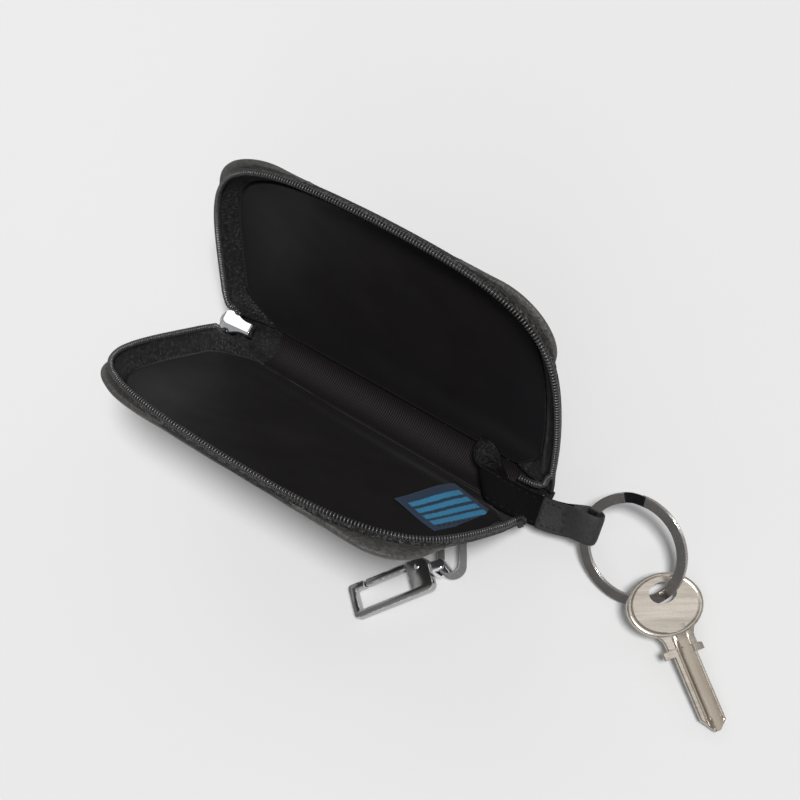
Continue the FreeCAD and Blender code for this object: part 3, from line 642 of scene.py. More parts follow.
def rim_drop(side, u, w):
    """How far out (zo) the zip's line lies: it dips towards the spine's ends."""
    z = 1.06
    if u < 0:
        z += 2.6 * smooth(8.0, 1.0, w) if side == "upper" else 1.0 * smooth(6.0, 1.0, w)
    elif side == "upper":
        z += 1.6 * smooth(12.0, 0.0, w)
    else:
        z += 6.2 * smooth(17.0, 4.0, w)
    return z


class Rim:
    def __init__(self, side, step):
        self.side = side
        pts = resample(rim_line(side), step)
        self.p = pts
        n = len(pts)
        self.n = n
        self.out = []
        for i in range(n):
            t = (pts[min(i + 2, n - 1)] - pts[max(i - 2, 0)]).normalized()
            o = Vector((-t.y, t.x))
            # near the spine the ends face straight along it
            f = smooth(14.0, 4.0, pts[i].y)
            o = (o * (1 - f) + Vector((-1.0 if pts[i].x < 0 else 1.0, 0.0)) * f).normalized()
            self.out.append(o)
        self.zo = [rim_drop(side, p.x, p.y) for p in pts]
        self.s = [0.0]
        for a, b in zip(pts, pts[1:]):
            self.s.append(self.s[-1] + (b - a).length)

    def at(self, i, off, zo):
        p = self.p[i] + self.out[i] * off
        return hp(self.side, p.x, p.y, zo)


def ease(cv, q):
    """Value of an evenly spaced control list at q in 0..1 (Catmull-Rom)."""
    n = len(cv) - 1
    x = min(max(q * n, 0.0), n - 1e-9)
    i = int(x)
    t = x - i
    a, b, c, d = cv[max(i - 1, 0)], cv[i], cv[min(i + 1, n)], cv[min(i + 2, n)]
    return 0.5 * ((2 * b) + (c - a) * t + (2 * a - 5 * b + 4 * c - d) * t * t + (3 * b - a - 3 * c + d) * t ** 3)


# Leather outline at its widest, a plain rounded rectangle: it stands out past the zip at the corners only
LW = 71.6
LEFT = {"upper": (63.2, 27.0, 19.5, 72.1), "lower": (61.2, 26.0, 19.5, 72.2)}
RIGHT = {"upper": (60.8, 20.0, 19.0, LW), "lower": (58.8, 14.6, 14.6, LW)}


def leather_line(side):
    full = []
    for sgn, (h, ru, rw, top) in ((-1, LEFT[side]), (1, RIGHT[side])):
        pts = [Vector((sgn * h, (top - rw) * k / 6)) for k in range(7)]
        pts += [Vector((sgn * (h - ru + ru * math.cos(a_)), top - rw + rw * math.sin(a_))) for a_ in [math.pi / 2 * k / 24 for k in range(1, 25)]]
        full += pts if sgn < 0 else list(reversed(pts))
    out = []
    for p in full:
        u = p.x
        if u > 0:
            u -= 3.0 * max(0.0, (32 - p.y) / 32) ** 2 + 1.5 * smooth(56.0, 42.0, p.y) if side == "upper" else 6.6 * smooth(13.5, 0.0, p.y)
        elif side == "lower":
            u -= 1.7 * smooth(52.0, 34.0, p.y)
        out.append(Vector((u, p.y)))
    return out


# down the outside: (share of the way from the zip's line to the leather's outline, offset, zo)
DOWN = [(0.0, -0.62, 3.05), (0.0, -0.28, 3.12), (0.04, 0.22, 3.22), (0.34, 0.46, 3.22), (0.70, 0.56, 3.50), (1.0, 0.52, 4.20), (1.0, 0.02, 5.10),
        (1.0, -1.40, 6.10), (1.0, -3.45, 7.10), (1.0, -6.2, 8.08), (1.0, -9.4, 8.82), (1.0, -13.0, 9.2)]
PROFILE = 34


class Wall:
    """The leather's outline, matched point for point with a rim."""

    def __init__(self, rim):
        line = leather_line(rim.side)
        d = [0.0]
        for p, q in zip(line, line[1:]):
            d.append(d[-1] + (q - p).length)
        self.p, k = [], 0
        for i in range(rim.n):
            x = d[-1] * rim.s[i] / rim.s[-1]
            while k < len(d) - 2 and d[k + 1] < x:
                k += 1
            self.p.append(line[k].lerp(line[k + 1], min(1.0, (x - d[k]) / (d[k + 1] - d[k]))))
        n = rim.n
        self.out = []
        for i in range(n):
            t = (self.p[min(i + 2, n - 1)] - self.p[max(i - 2, 0)]).normalized()
            o = Vector((-t.y, t.x))
            f = smooth(14.0, 4.0, self.p[i].y)
            self.out.append((o * (1 - f) + Vector((-1.0 if self.p[i].x < 0 else 1.0, 0.0)) * f).normalized())


def leather_row(rim, wall, i):
    row = []
    top = rim.zo[i]
    for k in range(PROFILE):
        q = k / (PROFILE - 1)
        share, off, zo = (ease([c[m] for c in DOWN], q) for m in range(3))
        o = (rim.out[i] * (1 - share) + wall.out[i] * share).normalized()
        p = rim.p[i].lerp(wall.p[i], share) + o * off
        # where the zip dips, the rest is pressed into what is left of the depth
        zo = 9.2 - (9.2 - zo) * (9.2 - top) / (9.2 - 1.06)
        # cut back round the slider
        if p.x < 0:
            p = p + Vector((0.5 * smooth(10.0, 1.5, p.y) * (1 - q) ** 0.8 + 1.2 * smooth(10.0, 1.5, p.y) * smooth(0.25, 0.6, q) * (1 - q), 0.0))
        # the back half's right end stays behind its zip
        if rim.side == "upper" and p.x > 0:
            p = p - Vector((1.1 * smooth(62.0, 50.0, p.y), 0.0))
        soft = smooth(0.3, 0.5, q) * (1 - smooth(0.85, 1.0, q))
        w = hp(rim.side, p.x, p.y, zo)
        p = p + o * (0.25 * wob(w, 12.0, 3.1) * soft)
        zo += 0.16 * wob(w, 9.0, 7.7) * soft
        row.append((p.x, p.y, zo))
    return row


def coons(b, a):
    """Grid inside an open U of boundary points whose corners are at a and n - a."""
    n = len(b) - 1
    J, I = a, n - 2 * a
    rows = []
    for j in range(J + 1):
        v = j / J
        row = []
        for i in range(I + 1):
            s = i / I
            bot = lambda t: tuple(lerp(b[0][k], b[n][k], t) for k in range(3))
            L, R, T, B = b[j], b[n - j], b[a + i], bot(s)
            row.append(tuple((1 - s) * L[k] + s * R[k] + (1 - v) * B[k] + v * T[k]
                             - ((1 - s) * (1 - v) * b[0][k] + s * (1 - v) * b[n][k] + (1 - s) * v * b[a][k] + s * v * b[n - a][k]) for k in range(3)))
        rows.append(row)
    return rows


def corner_index(rim):
    for i in range(rim.n):
        if rim.out[i].y > 0.7:
            break
    for j in range(rim.n - 1, -1, -1):
        if rim.out[j].y > 0.7:
            break
    return min(i, rim.n - 1 - j)


SPINE_EDGE = {}
pieces = {}
rims = {}

for side in ("lower", "upper"):
    rim = Rim(side, 1.5)
    rims[side] = rim
    P = lambda c: hp(side, *c)
    a = corner_index(rim)

    # leather: the wall round the three open sides and the panel in one skin
    wall = Wall(rim)
    rows = [leather_row(rim, wall, i) for i in range(rim.n)]
    for r in (rows[0], rows[-1]):
        for k in range(PROFILE):
            r[k] = (r[k][0], 0.0, r[k][2])
    SPINE_EDGE[side] = (rows[0], rows[-1])
    panel = coons([r[-1] for r in rows], a)
    for j, row in enumerate(panel):
        for i, c in enumerate(row):
            v, s = j / (len(panel) - 1), i / (len(row) - 1)
            puff = (math.sin(math.pi * s) ** 0.7) * (math.sin(math.pi * v) ** 0.8)
            row[i] = (c[0], c[1], c[2] + puff * (0.45 + 0.22 * wob((c[0], c[1], 0), 26.0, 1.3)))
    verts = [P(c) for r in rows for c in r]
    faces = rows_faces(rim.n, PROFILE)
    base = len(verts)
    verts += [P(c) for r in panel for c in r]
    faces += rows_faces(len(panel), len(panel[0]), base=base)
    cover = make(side + "_case_leather", verts, faces, [(v.x, v.y) for v in verts], M_LEATHER)
    cover.data.flip_normals() if sum(f.normal.dot(OUT[side]) for f in cover.data.polygons if f.area > 0) < 0 else None
    solid(cover, 0.5)
    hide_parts(side + "_cover", side + "_board")
    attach(cover, BODY[side])

    # zip tape: up the inside from the lining, over the zip's line and down behind the leather's edge
    def foot(i):
        """Where the tape meets the lining, as (u, w, zo)."""
        o = rim.out[i]
        p = rim.p[i] - o * ((4.4 if side == "upper" else 4.9) * max(0.0, -o.x) ** 2 + 6.5 * o.y * o.y + (6.6 if side == "upper" else 6.1) * max(0.0, o.x) ** 2)
        f = max(0.0, 1 - p.y / 13.0)
        sgn = 1.0 if p.x < 0 else -1.0
        u = p.x + sgn * (12.0 if p.x < 0 else 9.0) * f ** 1.8
        up = 0.35 * o.y * o.y + 1.75 * max(0.0, o.x) ** 2 if side == "upper" else 0.0
        return (u, max(0.0, p.y), 6.75 - up * smooth(4.0, 16.0, p.y) + max(0.0, rim.zo[i] - 6.0))

    feet = [foot(i) for i in range(rim.n)]
    trows = []
    for i in range(rim.n):
        t = rim.zo[i]
        q0 = rim.p[i]
        o = rim.out[i]
        f = feet[i]
        row, back = [], []
        head = (q0.x - o.x * 0.28, q0.y - o.y * 0.28, t + 0.55)
        for k in range(9):
            q = 1 - k / 8
            sag = (0.2 * max(0.0, -o.x) - 0.4 * (1 - max(0.0, -o.x))) * math.sin(math.pi * q)
            c = [lerp(head[m], f[m], q) for m in range(3)]
            c[0] -= -o.x * sag
            c[1] -= -o.y * sag
            if side == "upper":
                c[2] -= 0.45 * max(0.0, o.x) * math.sin(math.pi * q)
            if 0 < k < 8:
                g = 0.12 * wob(hp(side, *c), 5.0, 2.2)
                c[0] += o.x * g
                c[1] += o.y * g
            row.append(P(c))
            back.append(P((c[0], c[1], c[2] + 0.12)))
        for off, zo in ((-0.12, t + 0.35), (0.14, t + 0.38), (0.26, t + 0.7), (0.28, t + 1.2), (0.20, t + 1.7), (-0.02, t + 1.95), (-0.25, t + 1.98)):
            zo = min(zo, 8.6)
            row.append(rim.at(i, off, zo))
        # the tape's back lies close behind its face, clear of the leather
        row += reversed(back[:-1])
        trows.append(row)
    for r in (trows[0], trows[-1]):
        for k, p in enumerate(r):
            w = (p - HINGE).dot(E[side])
            r[k] = p - E[side] * w
    trows = [[beside_slider(side, p, 0.4) for p in r] for r in trows]
    tape = grid(side + "_zip_tape_weave", trows, M_TAPE, uv=lambda i, j: (rim.s[i], j * 0.72), close_m=True, cap=True)
    # outside, between coil and leather, the tape's ribs catch more light
    tape.data.materials.append(M_TAPE_OUT)
    for f in tape.data.polygons:
        if all(9 <= v % 24 <= 15 and v // 24 < rim.n - 15 for v in f.vertices):
            f.material_index = 1
    # the front half's right end is tucked in under the strap and lies in its dark
    if side == "lower":
        tape.data.materials.append(M_TAPE_TUCK)
        for f in tape.data.polygons:
            if all(v // 24 >= rim.n - 16 for v in f.vertices):
                f.material_index = 2
    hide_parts(side + "_zip_tape")
    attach(tape, BODY[side])

    # lining: soft cloth drawn to the tape all round
    lin = coons(feet, a)
    for j, row in enumerate(lin):
        for i, c in enumerate(row):
            v, s = j / (len(lin) - 1), i / (len(row) - 1)
            edge = min(s, 1 - s, 1 - v) * 9.0
            inn = min(1.0, edge) * min(1.0, v * 6.0)
            ease_in = 0.45 * math.exp(-(edge / 0.55) ** 2)
            row[i] = (c[0], c[1], c[2] - ease_in * min(1.0, v * 6.0) + inn * (0.26 * wob((c[0], c[1], 0), 19.0, 5.1) + 0.10 * wob((c[0], c[1], 0), 7.0, 8.4)))
    cloth = grid(side + "_lining_cloth", [[P(c) for c in r] for r in lin], M_LINING,
                 uv=lambda i, j: (lin[i][j][0], lin[i][j][1]))
    solid(cloth, 0.28)
    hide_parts(side + "_lining")
    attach(cloth, BODY[side])
    area = 0.0
    for j in range(len(lin) - 1):
        for i in range(len(lin[0]) - 1):
            p, q, r2, s2 = (Vector(lin[j][i]), Vector(lin[j][i + 1]), Vector(lin[j + 1][i + 1]), Vector(lin[j + 1][i]))
            area += ((q - p).cross(r2 - p).length + (r2 - p).cross(s2 - p).length) / 2

    # zig-zag seam where tape and lining meet
    run = []
    idx = [i for i in range(rim.n) if rim.p[i].y > 6]
    zig = []
    for c, i in enumerate(idx):
        f, g = feet[i], rim.p[i]
        d = Vector((g.x - f[0], g.y - f[1])).normalized()
        for h, sh in ((0, 0.25), (1, -0.75)):
            zig.append((P((f[0] + d.x * sh, f[1] + d.y * sh, f[2] - 0.55 - (0.3 if h == 0 else 0.0))), -OUT[side]))
    seam = stitches(side + "_lining_seam", [[zig[k], zig[k + 1]] for k in range(0, len(zig) - 1)], M_THREAD, long=0.9, gap=0.15, r=0.13, sink=0.0)
    # the seam takes the darker thread: painted shade where tape and lining meet
    seam.data.materials[0] = M_SEAM_SHADED
    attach(seam, BODY[side])
    pieces[side] = (cover, tape, cloth)

# ---------------------------------------------------------------- zip coils
def coil_path(side):
    rim = Rim(side, 1.0)
    keep = [i for i in range(rim.n) if rim.p[i].y > (2.2 if rim.p[i].x < 0 else (11.0 if side == "upper" else 4.4))]
    pts = [rim.at(i, 0.05, rim.zo[i] - 0.12) for i in keep]
    if side == "upper":
        head = [hp(side, -58.8, -1.7, 2.1), hp(side, -60.6, -1.2, 2.9), hp(side, -61.8, -0.3, 3.6), hp(side, -62.3, 0.9, 3.7)]
    else:
        head = [hp(side, -60.2, -1.7, 2.0), hp(side, -62.0, -1.2, 2.2), hp(side, -63.1, -0.4, 2.2), hp(side, -63.5, 0.8, 2.1)]
    if side == "upper":
        tail = [hp(side, 60.9, 8.2, 1.4), hp(side, 59.6, 4.6, 1.9), hp(side, 57.2, 2.2, 2.4), hp(side, 53.8, 0.8, 2.8), hp(side, 49.6, -0.2, 3.2)]
    else:
        tail = [hp(side, 55.4, 2.6, 7.3), hp(side, 54.2, 1.0, 7.4)]
    ends = spline(head + [pts[0], pts[2]], 10)[:-11]
    last = spline([pts[-3], pts[-1]] + tail, 10)[11:]
    return [beside_slider(side, p, 0.75) for p in ends + pts] + last


for side in ("lower", "upper"):
    PITCH, PER = 1.0, 14
    c = resample(coil_path(side), PITCH / PER)
    n = len(c)
    wire = []
    for i in range(n):
        t = (c[min(i + 6, n - 1)] - c[max(i - 6, 0)]).normalized()
        z = (-OUT[side] - t * (-OUT[side]).dot(t)).normalized()
        o = t.cross(z)
        ph = 2 * math.pi * i / PER
        # flattened loops: broad heads at the rim, legs down to the tape
        head = math.cos(ph)
        wire.append(c[i] + z * (0.78 * head + 0.08 * math.cos(2 * ph)) + o * (0.66 * math.sin(ph)) - t * (0.23 * PITCH * math.sin(ph)))
    coil = tube(side + "_coil_nylon", wire, 0.28, 7, M_COIL)
    # the front half's coil end under the strap takes the darker nylon: painted shade of the strap
    if side == "lower":
        coil.data.materials.append(M_COIL_SHADED)
        for f in coil.data.polygons:
            if all(v // 7 >= n - 23 * PER for v in f.vertices):
                f.material_index = 1
    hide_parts(side + "_zip_coil")
    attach(coil, BODY[side])

# ---------------------------------------------------------------- spine: leather outside, tape ends and grosgrain inside
ARC = 22


def swept(edge_l, edge_u, floor=None):
    """Arcs about the hinge line between a lower and an upper edge given as (u, zo) lists."""
    rows = []
    for (u0, z0), (u1, z1) in zip(edge_l, edge_u):
        row = []
        for k in range(ARC + 1):
            t = k / ARC
            b = lerp(-LEAN, LEAN, t)
            u, r = lerp(u0, u1, t), lerp(z0, z1, t)
            y, z = r * math.sin(b), 8.6 - r * math.cos(b)
            if floor is not None and z < floor + 0.9:
                z = floor + 0.9 * math.exp((z - floor - 0.9) / 0.9)
            row.append(Vector((u, y, z)))
        rows.append(row)
    return rows


def spine_edges():
    out = []
    for side in ("lower", "upper"):
        l, r = SPINE_EDGE[side]
        line = [(c[0], c[2]) for c in l if c[2] > 6.0]
        a, b = l[-1], r[-1]
        line += [(lerp(a[0], b[0], k / 60), 9.2) for k in range(1, 61)]
        line += [(c[0], c[2]) for c in reversed(r[6:-1])]
        out.append(line)
    n = min(len(out[0]), len(out[1]))
    return out[0][:n], out[1][:n]


el_, eu_ = spine_edges()
rows = swept(el_, eu_, floor=0.02)
spine = grid("spine_case_leather", rows, M_LEATHER, uv=lambda i, j: (rows[i][j].x, j))
if sum(f.normal.z for f in spine.data.polygons) > 0:
    spine.data.flip_normals()
solid(spine, 0.7)
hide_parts("spine_cover")
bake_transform(spine)

# grosgrain strip over the seams of the two linings
rows = []
for i in range(121):
    u = lerp(-52.5, 51.5, i / 120)
    row = []
    for k in range(33):
        b = lerp(-LEAN, LEAN, k / 32)
        r = 6.55 + 0.10 * wob((u, b * 7, 0), 8.0, 4.4)
        r += 0.6 * smooth(6.5, 2.5, u + 52.5) + 1.0 * smooth(5.0, 0.0, 51.5 - u) - 0.3 * smooth(4.0, 9.0, u + 52.5) * smooth(22.0, 10.0, u + 52.5)
        ext = max(0.0, abs(k - 16) - 14) * 0.9
        r += 0.16 * max(0.0, abs(k - 16) - 14)
        p = Vector((u, r * math.sin(b), 8.6 - r * math.cos(b)))
        row.append(p + E["lower" if b < 0 else "upper"] * ext)
    rows.append(row)
strip = grid("spine_grosgrain", rows, M_RIBBON, uv=lambda i, j: (rows[i][j].x, j * 0.45))
if sum(f.normal.z for f in strip.data.polygons) < 0:
    strip.data.flip_normals()
solid(strip, 0.4)
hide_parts("spine_strip")
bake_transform(strip)

# the woven tape runs down into the spine at both ends
def gusset(name, edge_l, edge_u, inner=None):
    rows = swept(edge_l, edge_u)
    if inner:
        # a flap beside the slider: one side only, stopping short of the middle
        rows = [[p for p in r if p.y * inner[0] > inner[1]] for r in rows]
        m = min(len(r) for r in rows)
        rows = [r[:m] if inner[0] < 0 else r[-m:] for r in rows]
    # the ends down in the spine take the darker weave: painted shade
    ob = grid(name, rows, M_TAPE_END_SHADED, uv=lambda i, j: (i * 0.7, j * 0.6))
    solid(ob, 0.4, 0.0)
    return ob


edge = [(lerp(-56.6, -46.0, k / 16), lerp(5.35, 6.55, smooth(0.0, 1.0, k / 16))) for k in range(17)]
left_end = gusset("left_tape_end", edge, edge)
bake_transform(left_end)
edge = [(lerp(-63.7, -56.4, k / 12), lerp(4.3, 5.37, k / 12)) for k in range(13)]
rows = []
for i in range(17):
    t = i / 16
    rows.append([Vector((lerp(-64.0, -55.0, t), lerp(-1.3, -5.7, k / 8), lerp(6.5, 5.25, k / 8) - 2.3 * smooth(0.70, 1.0, t) * (1 - 0.65 * k / 8))) for k in range(9)])
# the flap beside the slider takes the darker weave: painted shade
flap_l = grid("left_tape_flap_lower", rows, M_TAPE_END_SHADED, uv=lambda i, j: (i * 0.6, j * 0.6))
solid(flap_l, 0.4, 0.0)
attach(flap_l, "front_half")
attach(gusset("left_tape_flap_upper", edge, edge, (1, 2.6)), "back_half")
edge_u = [(lerp(60.6, 47.6, k / 22), lerp(2.7, 6.6, k / 22)) for k in range(23)]
edge_l = [(lerp(53.2, 47.6, k / 22), lerp(7.2, 6.6, k / 22)) for k in range(23)]
right_end = gusset("right_tape_end", edge_l, edge_u)
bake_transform(right_end)
# the tape's tail, turned down between the strap and the back half's end
# the tail takes the darker weave: painted shade
tail = grid("right_tape_tail", [[Vector((59.3, 0.6, 6.2)), Vector((60.8, 0.4, 6.6)), Vector((62.1, 0.4, 6.6))], [Vector((59.3, 2.4, 6.5)), Vector((60.8, 2.2, 6.9)), Vector((62.2, 2.0, 6.8))],
                              [Vector((59.3, 4.2, 6.5)), Vector((60.8, 4.1, 6.9)), Vector((62.0, 3.8, 6.9))]], M_TAPE_END_SHADED, uv=lambda i, j: (i * 1.8, j * 1.5))
solid(tail, 0.3)
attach(tail, "front_half")

# ---------------------------------------------------------------- key strap
RING_N = Vector((0.04448, -0.54825, 0.83513)).normalized()
LOOP_AT = Vector((77.15504, -0.25104, 11.06519))
LX = -(Vector((-1, 0, 0)) - RING_N * RING_N.dot(Vector((-1, 0, 0)))).normalized()
LY = Vector((0, 0.835958, 0.548794))
LY = (LY - LX * LX.dot(LY)).normalized()
LZ = LX.cross(LY)
TRACK = spline([Vector(p) for p in ((36.6, -4.0, 9.0), (41, -4.1, 9.2), (47, -4.3, 9.3), (53, -4.3, 9.3), (58, -4.0, 9.35), (62.5, -3.4, 9.5), (66.5, -2.7, 9.75), (70.5, -1.7, 10.25), (73.5, -0.9, 10.85), (77.155, -0.25, 11.065), (81.7, -0.14, 10.9))], 14)
TLEN = [0.0]
for p, q in zip(TRACK, TRACK[1:]):
    TLEN.append(TLEN[-1] + (q - p).length)


def track(s):
    k = 0
    s = min(max(s, 0.0), TLEN[-1] - 1e-6)
    while k < len(TLEN) - 2 and TLEN[k + 1] < s:
        k += 1
    f = (s - TLEN[k]) / (TLEN[k + 1] - TLEN[k])
    p = TRACK[k].lerp(TRACK[k + 1], f)
    t = (TRACK[min(k + 3, len(TRACK) - 1)] - TRACK[max(k - 2, 0)]).normalized()
    tw = smooth(54.0, 76.0, p.x)
    y = (Vector((0, 1, 0)) * (1 - tw) + LY * tw).normalized()
    y = (y - t * t.dot(y)).normalized()
    return p, t, y, t.cross(y)


S_LOOP = min(range(len(TRACK)), key=lambda i: (TRACK[i] - LOOP_AT).length)
S_LOOP = TLEN[S_LOOP]


def section(wide, thick, square=0.32):
    out = []
    for k in range(24):
        a_ = 2 * math.pi * k / 24
        x, y = math.cos(a_), math.sin(a_)
        out.append((math.copysign(abs(x) ** square, x) * wide / 2, math.copysign(abs(y) ** 0.55, y) * thick / 2))
    return out


def ribbon(name, line, wide, thick, mat, skew=0.0, seed=1.0, pad=0.3, bow=0.0, thin=None):
    """Leather strip along (s, height) points of the strap's track."""
    sec = section(wide, thick)
    rows = []
    for i, (s, h) in enumerate(line):
        a2, b2 = line[max(i - 1, 0)], line[min(i + 1, len(line) - 1)]
        d = Vector((b2[0] - a2[0], b2[1] - a2[1])).normalized()
        row = []
        for x_, h_ in sec:
            e = x_ / (wide / 2)
            p, t, y, z = track(s + skew * (0.5 - 0.5 * e) * max(0.0, 1 - s / 16.0))
            nrm = (t * -d.y + z * d.x).normalized()
            # padded middle, thin pressed edges
            k = 1.0 - pad * smooth(0.66, 0.92, abs(e))
            if thin:
                k *= thin(s)
            q = p + z * h + y * (x_ * (1.0 + 0.03 * wob(p + y * x_, 11.0, seed))) + nrm * (h_ * k + bow * (1 - e * e))
            if skew:
                q += z * (-1.6 * math.exp(-s / 1.6) * (0.35 + 0.65 * max(0.0, -e)))
            q += nrm * (0.09 * wob(q, 3.6, seed + 3.0))
            row.append(q)
        rows.append(row)
    return grid(name, rows, mat, uv=lambda i, j: (i * 0.4, j * 0.4), close_m=True, cap=True)


# two layers sewn at the edges, from the spine to the loop
base = [(0.5 * k, 0.0) for k in range(int((S_LOOP - 4.0) / 0.5))]
# the run takes the darker strap leather: painted shade
strap = ribbon("key_strap_run", base, 9.3, 1.55, M_STRAP_SHADED, skew=8.0, seed=2.0, bow=0.12, thin=lambda s: 1 - 0.35 * smooth(S_LOOP - 9, S_LOOP - 4, s))
# the end goes round the ring's wire and comes back on top as a sewn flap
LOOP = [(S_LOOP - 6.5, -0.25), (S_LOOP - 5.0, -0.55), (S_LOOP - 3.2, -1.55), (S_LOOP - 1.2, -2.35), (S_LOOP + 0.9, -2.5), (S_LOOP + 2.7, -1.9), (S_LOOP + 3.6, -0.8), (S_LOOP + 3.75, 0.3),
        (S_LOOP + 3.3, 1.45), (S_LOOP + 1.9, 2.3), (S_LOOP + 0.1, 2.55), (S_LOOP - 2.0, 2.3), (S_LOOP - 4.0, 1.75), (S_LOOP - 5.8, 1.36), (S_LOOP - 8.0, 1.22), (S_LOOP - 11.0, 1.2), (S_LOOP - 15.2, 1.16)]
flap = ribbon("key_strap_flap", [(p.x, p.y) for p in spline([Vector((a_, b_, 0)) for a_, b_ in LOOP], 5)], 9.5, 1.0, M_FLAP, seed=6.0, pad=0.15)

# edge stitching along the run, and a stitched square on the flap
runs, flap_runs = [], []
for off in (-3.45, 3.45):
    for up in (1, -1):
        run = []
        for k in range(120):
            p, t, y, z = track(lerp(8.0 if off < 0 else 2.0, S_LOOP - 15.6 if up > 0 else S_LOOP - 6.2, k / 119))
            run.append((p + z * (0.76 * up) + y * off, z * up))
        runs.append(run)
    run = []
    for k in range(60):
        p, t, y, z = track(lerp(S_LOOP - 14.2, S_LOOP - 6.2, k / 59))
        run.append((p + z * 1.72 + y * off, z))
    flap_runs.append(run)
for sx in (S_LOOP - 14.2, S_LOOP - 7.0, S_LOOP - 6.1):
    p, t, y, z = track(sx)
    flap_runs.append([(p + z * (1.72 + (0.06 if sx > S_LOOP - 8 else 0)) + y * lerp(-3.4, 3.4, k / 39), z) for k in range(40)])
# the run's stitches take the darker thread: painted shade
sew = stitches("key_strap_thread", runs, M_SEW_SHADED, long=1.8, gap=0.8, r=0.21, sink=0.03)
sew2 = stitches("key_flap_thread", flap_runs, M_THREAD, long=1.5, gap=0.6, r=0.20, sink=0.03)
strap = join("key_strap_leather", [strap, flap, sew, sew2])
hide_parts("strap_inner", "strap_loop")
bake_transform(strap)

# sewn root: crumpled leather between the strap's back edge and the back half's seam
EDGE = spline([Vector(p) for p in ((34.2, 7.3, 9.2), (34.0, 5.0, 9.7), (34.5, 2.6, 10.0), (36.2, 0.6, 10.1), (38.6, -0.5, 10.1), (42.0, -0.6, 10.0), (46.5, -0.4, 9.8))], 8)
SEAM = spline([Vector(p) for p in ((35.2, 7.7, 9.3), (37.0, 7.6, 9.2), (38.8, 7.2, 8.6), (40.2, 6.3, 7.4), (41.8, 4.8, 6.6), (44.2, 2.8, 6.9), (47.5, 0.8, 8.6))], 8)
rows = []
NC = 40
for i, (p, q) in enumerate(zip(EDGE, SEAM)):
    row = []
    for j in range(NC + 1):
        v = j / NC
        c = p.lerp(q, v)
        mid = math.sin(math.pi * v) ** 0.6
        t_ = i / (len(EDGE) - 1)
        fold = abs(wob((i * 0.115 * 1.9, v * 2.2 + 0.35 * wob((i * 0.2, v * 3, 0), 1.0, 4.0), 0), 0.62, 3.0)) * 1.5 - 0.45
        fine = wob((i * 0.3, v * 5.0, 0), 0.5, 8.0)
        c = c + Vector((0.1, 0.2, 1.0)) * (mid * (0.55 + 0.75 * fold + 0.12 * fine) * (1 - 0.5 * t_))
        row.append(c)
    rows.append(row)
# the root and its edge take the darker leather: painted shade
root = grid("strap_root_crumple", rows, M_ROOT_SHADED, uv=lambda i, j: (i * 0.3, j * 0.3))
if sum(f.normal.z for f in root.data.polygons) < 0:
    root.data.flip_normals()
solid(root, 0.7)
lip = tube("strap_root_edge", EDGE, 0.42, 10, M_ROOT_SHADED)
root = join("strap_root_leather", [root, lip])
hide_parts("strap_root")
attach(root, "front_half")

# ---------------------------------------------------------------- woven label
C00, C10, C11, C01 = (Vector((50.1, 39.0)), Vector((33.9, 35.6)), Vector((36.2, 8.6)), Vector((55.4, 11.0)))
# u across from the sewn edge, v along it
A0, A1 = Vector((54.9, 10.8)), Vector((50.0, 38.8))
B0, B1 = Vector((36.0, 8.8)), Vector((33.3, 36.0))
rows = []
for i in range(40):
    s = i / 39
    row = []
    for j in range(32):
        v = j / 31
        q = A0.lerp(A1, s).lerp(B0.lerp(B1, s), v)
        lift = 0.12 + 1.5 * smooth(0.25, 1.0, v) * (0.55 + 0.45 * math.sin(math.pi * s)) + 0.35 * math.sin(2 * math.pi * (s * 0.9 + 0.1)) * v
        row.append(hp("lower", q.x, q.y, 6.35 - lift))
    rows.append(row)
label = grid("woven_label_cloth", rows, M_LABEL, uv=lambda i, j: (28.2 * i / 39, 18.6 * j / 31))
if sum(f.normal.dot(OUT["lower"]) for f in label.data.polygons) > 0:
    label.data.flip_normals()
solid(label, 0.25)
run = []
for k in range(60):
    s = lerp(0.03, 0.97, k / 59)
    q = A0.lerp(A1, s).lerp(B0.lerp(B1, s), 0.09)
    run.append((hp("lower", q.x, q.y, 6.17), -OUT["lower"]))
lab_sew = stitches("label_thread", [run], M_THREAD, long=1.3, gap=0.8, r=0.16, sink=0.02)
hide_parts("woven_label")
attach(label, "front_half")
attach(lab_sew, "front_half")

# ---------------------------------------------------------------- zip slider: a shield-shaped crowned cap over the lower plate


def slider_pt(x, y, z):
    c, s_ = math.cos(SKEW), math.sin(SKEW)
    return Vector((-66.0 + x * c - y * s_, 0.05 + x * s_ + y * c, z))


def cap(name, under, ridge, slopes, lip, size=1.0, skirt=0.0):
    """Shield-shaped plate: flat facets falling from a ridge, a rounded lip and a flat underside."""
    half = spline([Vector((a_, b_, 0)) for a_, b_ in HALF_WIDE], 5)
    rows = []
    for p in half:
        x, w = p.x, max(0.25, p.y)
        drop = 0.5 * smooth(1.3, 0.0, x) + 0.35 * smooth(11.6, 12.0, x)
        row = []
        yr = -1.0 * smooth(0.0, 3.0, x)
        across = [-w, -0.985 * w, -0.95 * w, -0.90 * w, lerp(-0.9 * w, yr, 0.5), yr - 0.04, yr + 0.04, lerp(yr, 0.9 * w, 0.33), lerp(yr, 0.9 * w, 0.66), 0.90 * w, 0.95 * w, 0.985 * w, w]
        for y in across:
            e = y / w
            z = ridge - (slopes[0] * (y - yr) if y > yr else slopes[1] * (yr - y)) - drop
            z -= lip * max(0.0, (abs(e) - 0.90) / 0.10) ** 2
            row.append(slider_pt(x * size, y * size, z))
        for e in (1.0, 0.96, 0.0, -0.96, -1.0):
            row.append(slider_pt(x * size, size * e * w * (1.0 if abs(e) == 1 else 0.97), under + (0.25 if abs(e) == 1 else 0.0) - (skirt if e < 0 else 0.0)))
        rows.append(row)
    return grid(name, rows, M_CHROME, close_m=True, cap=True)


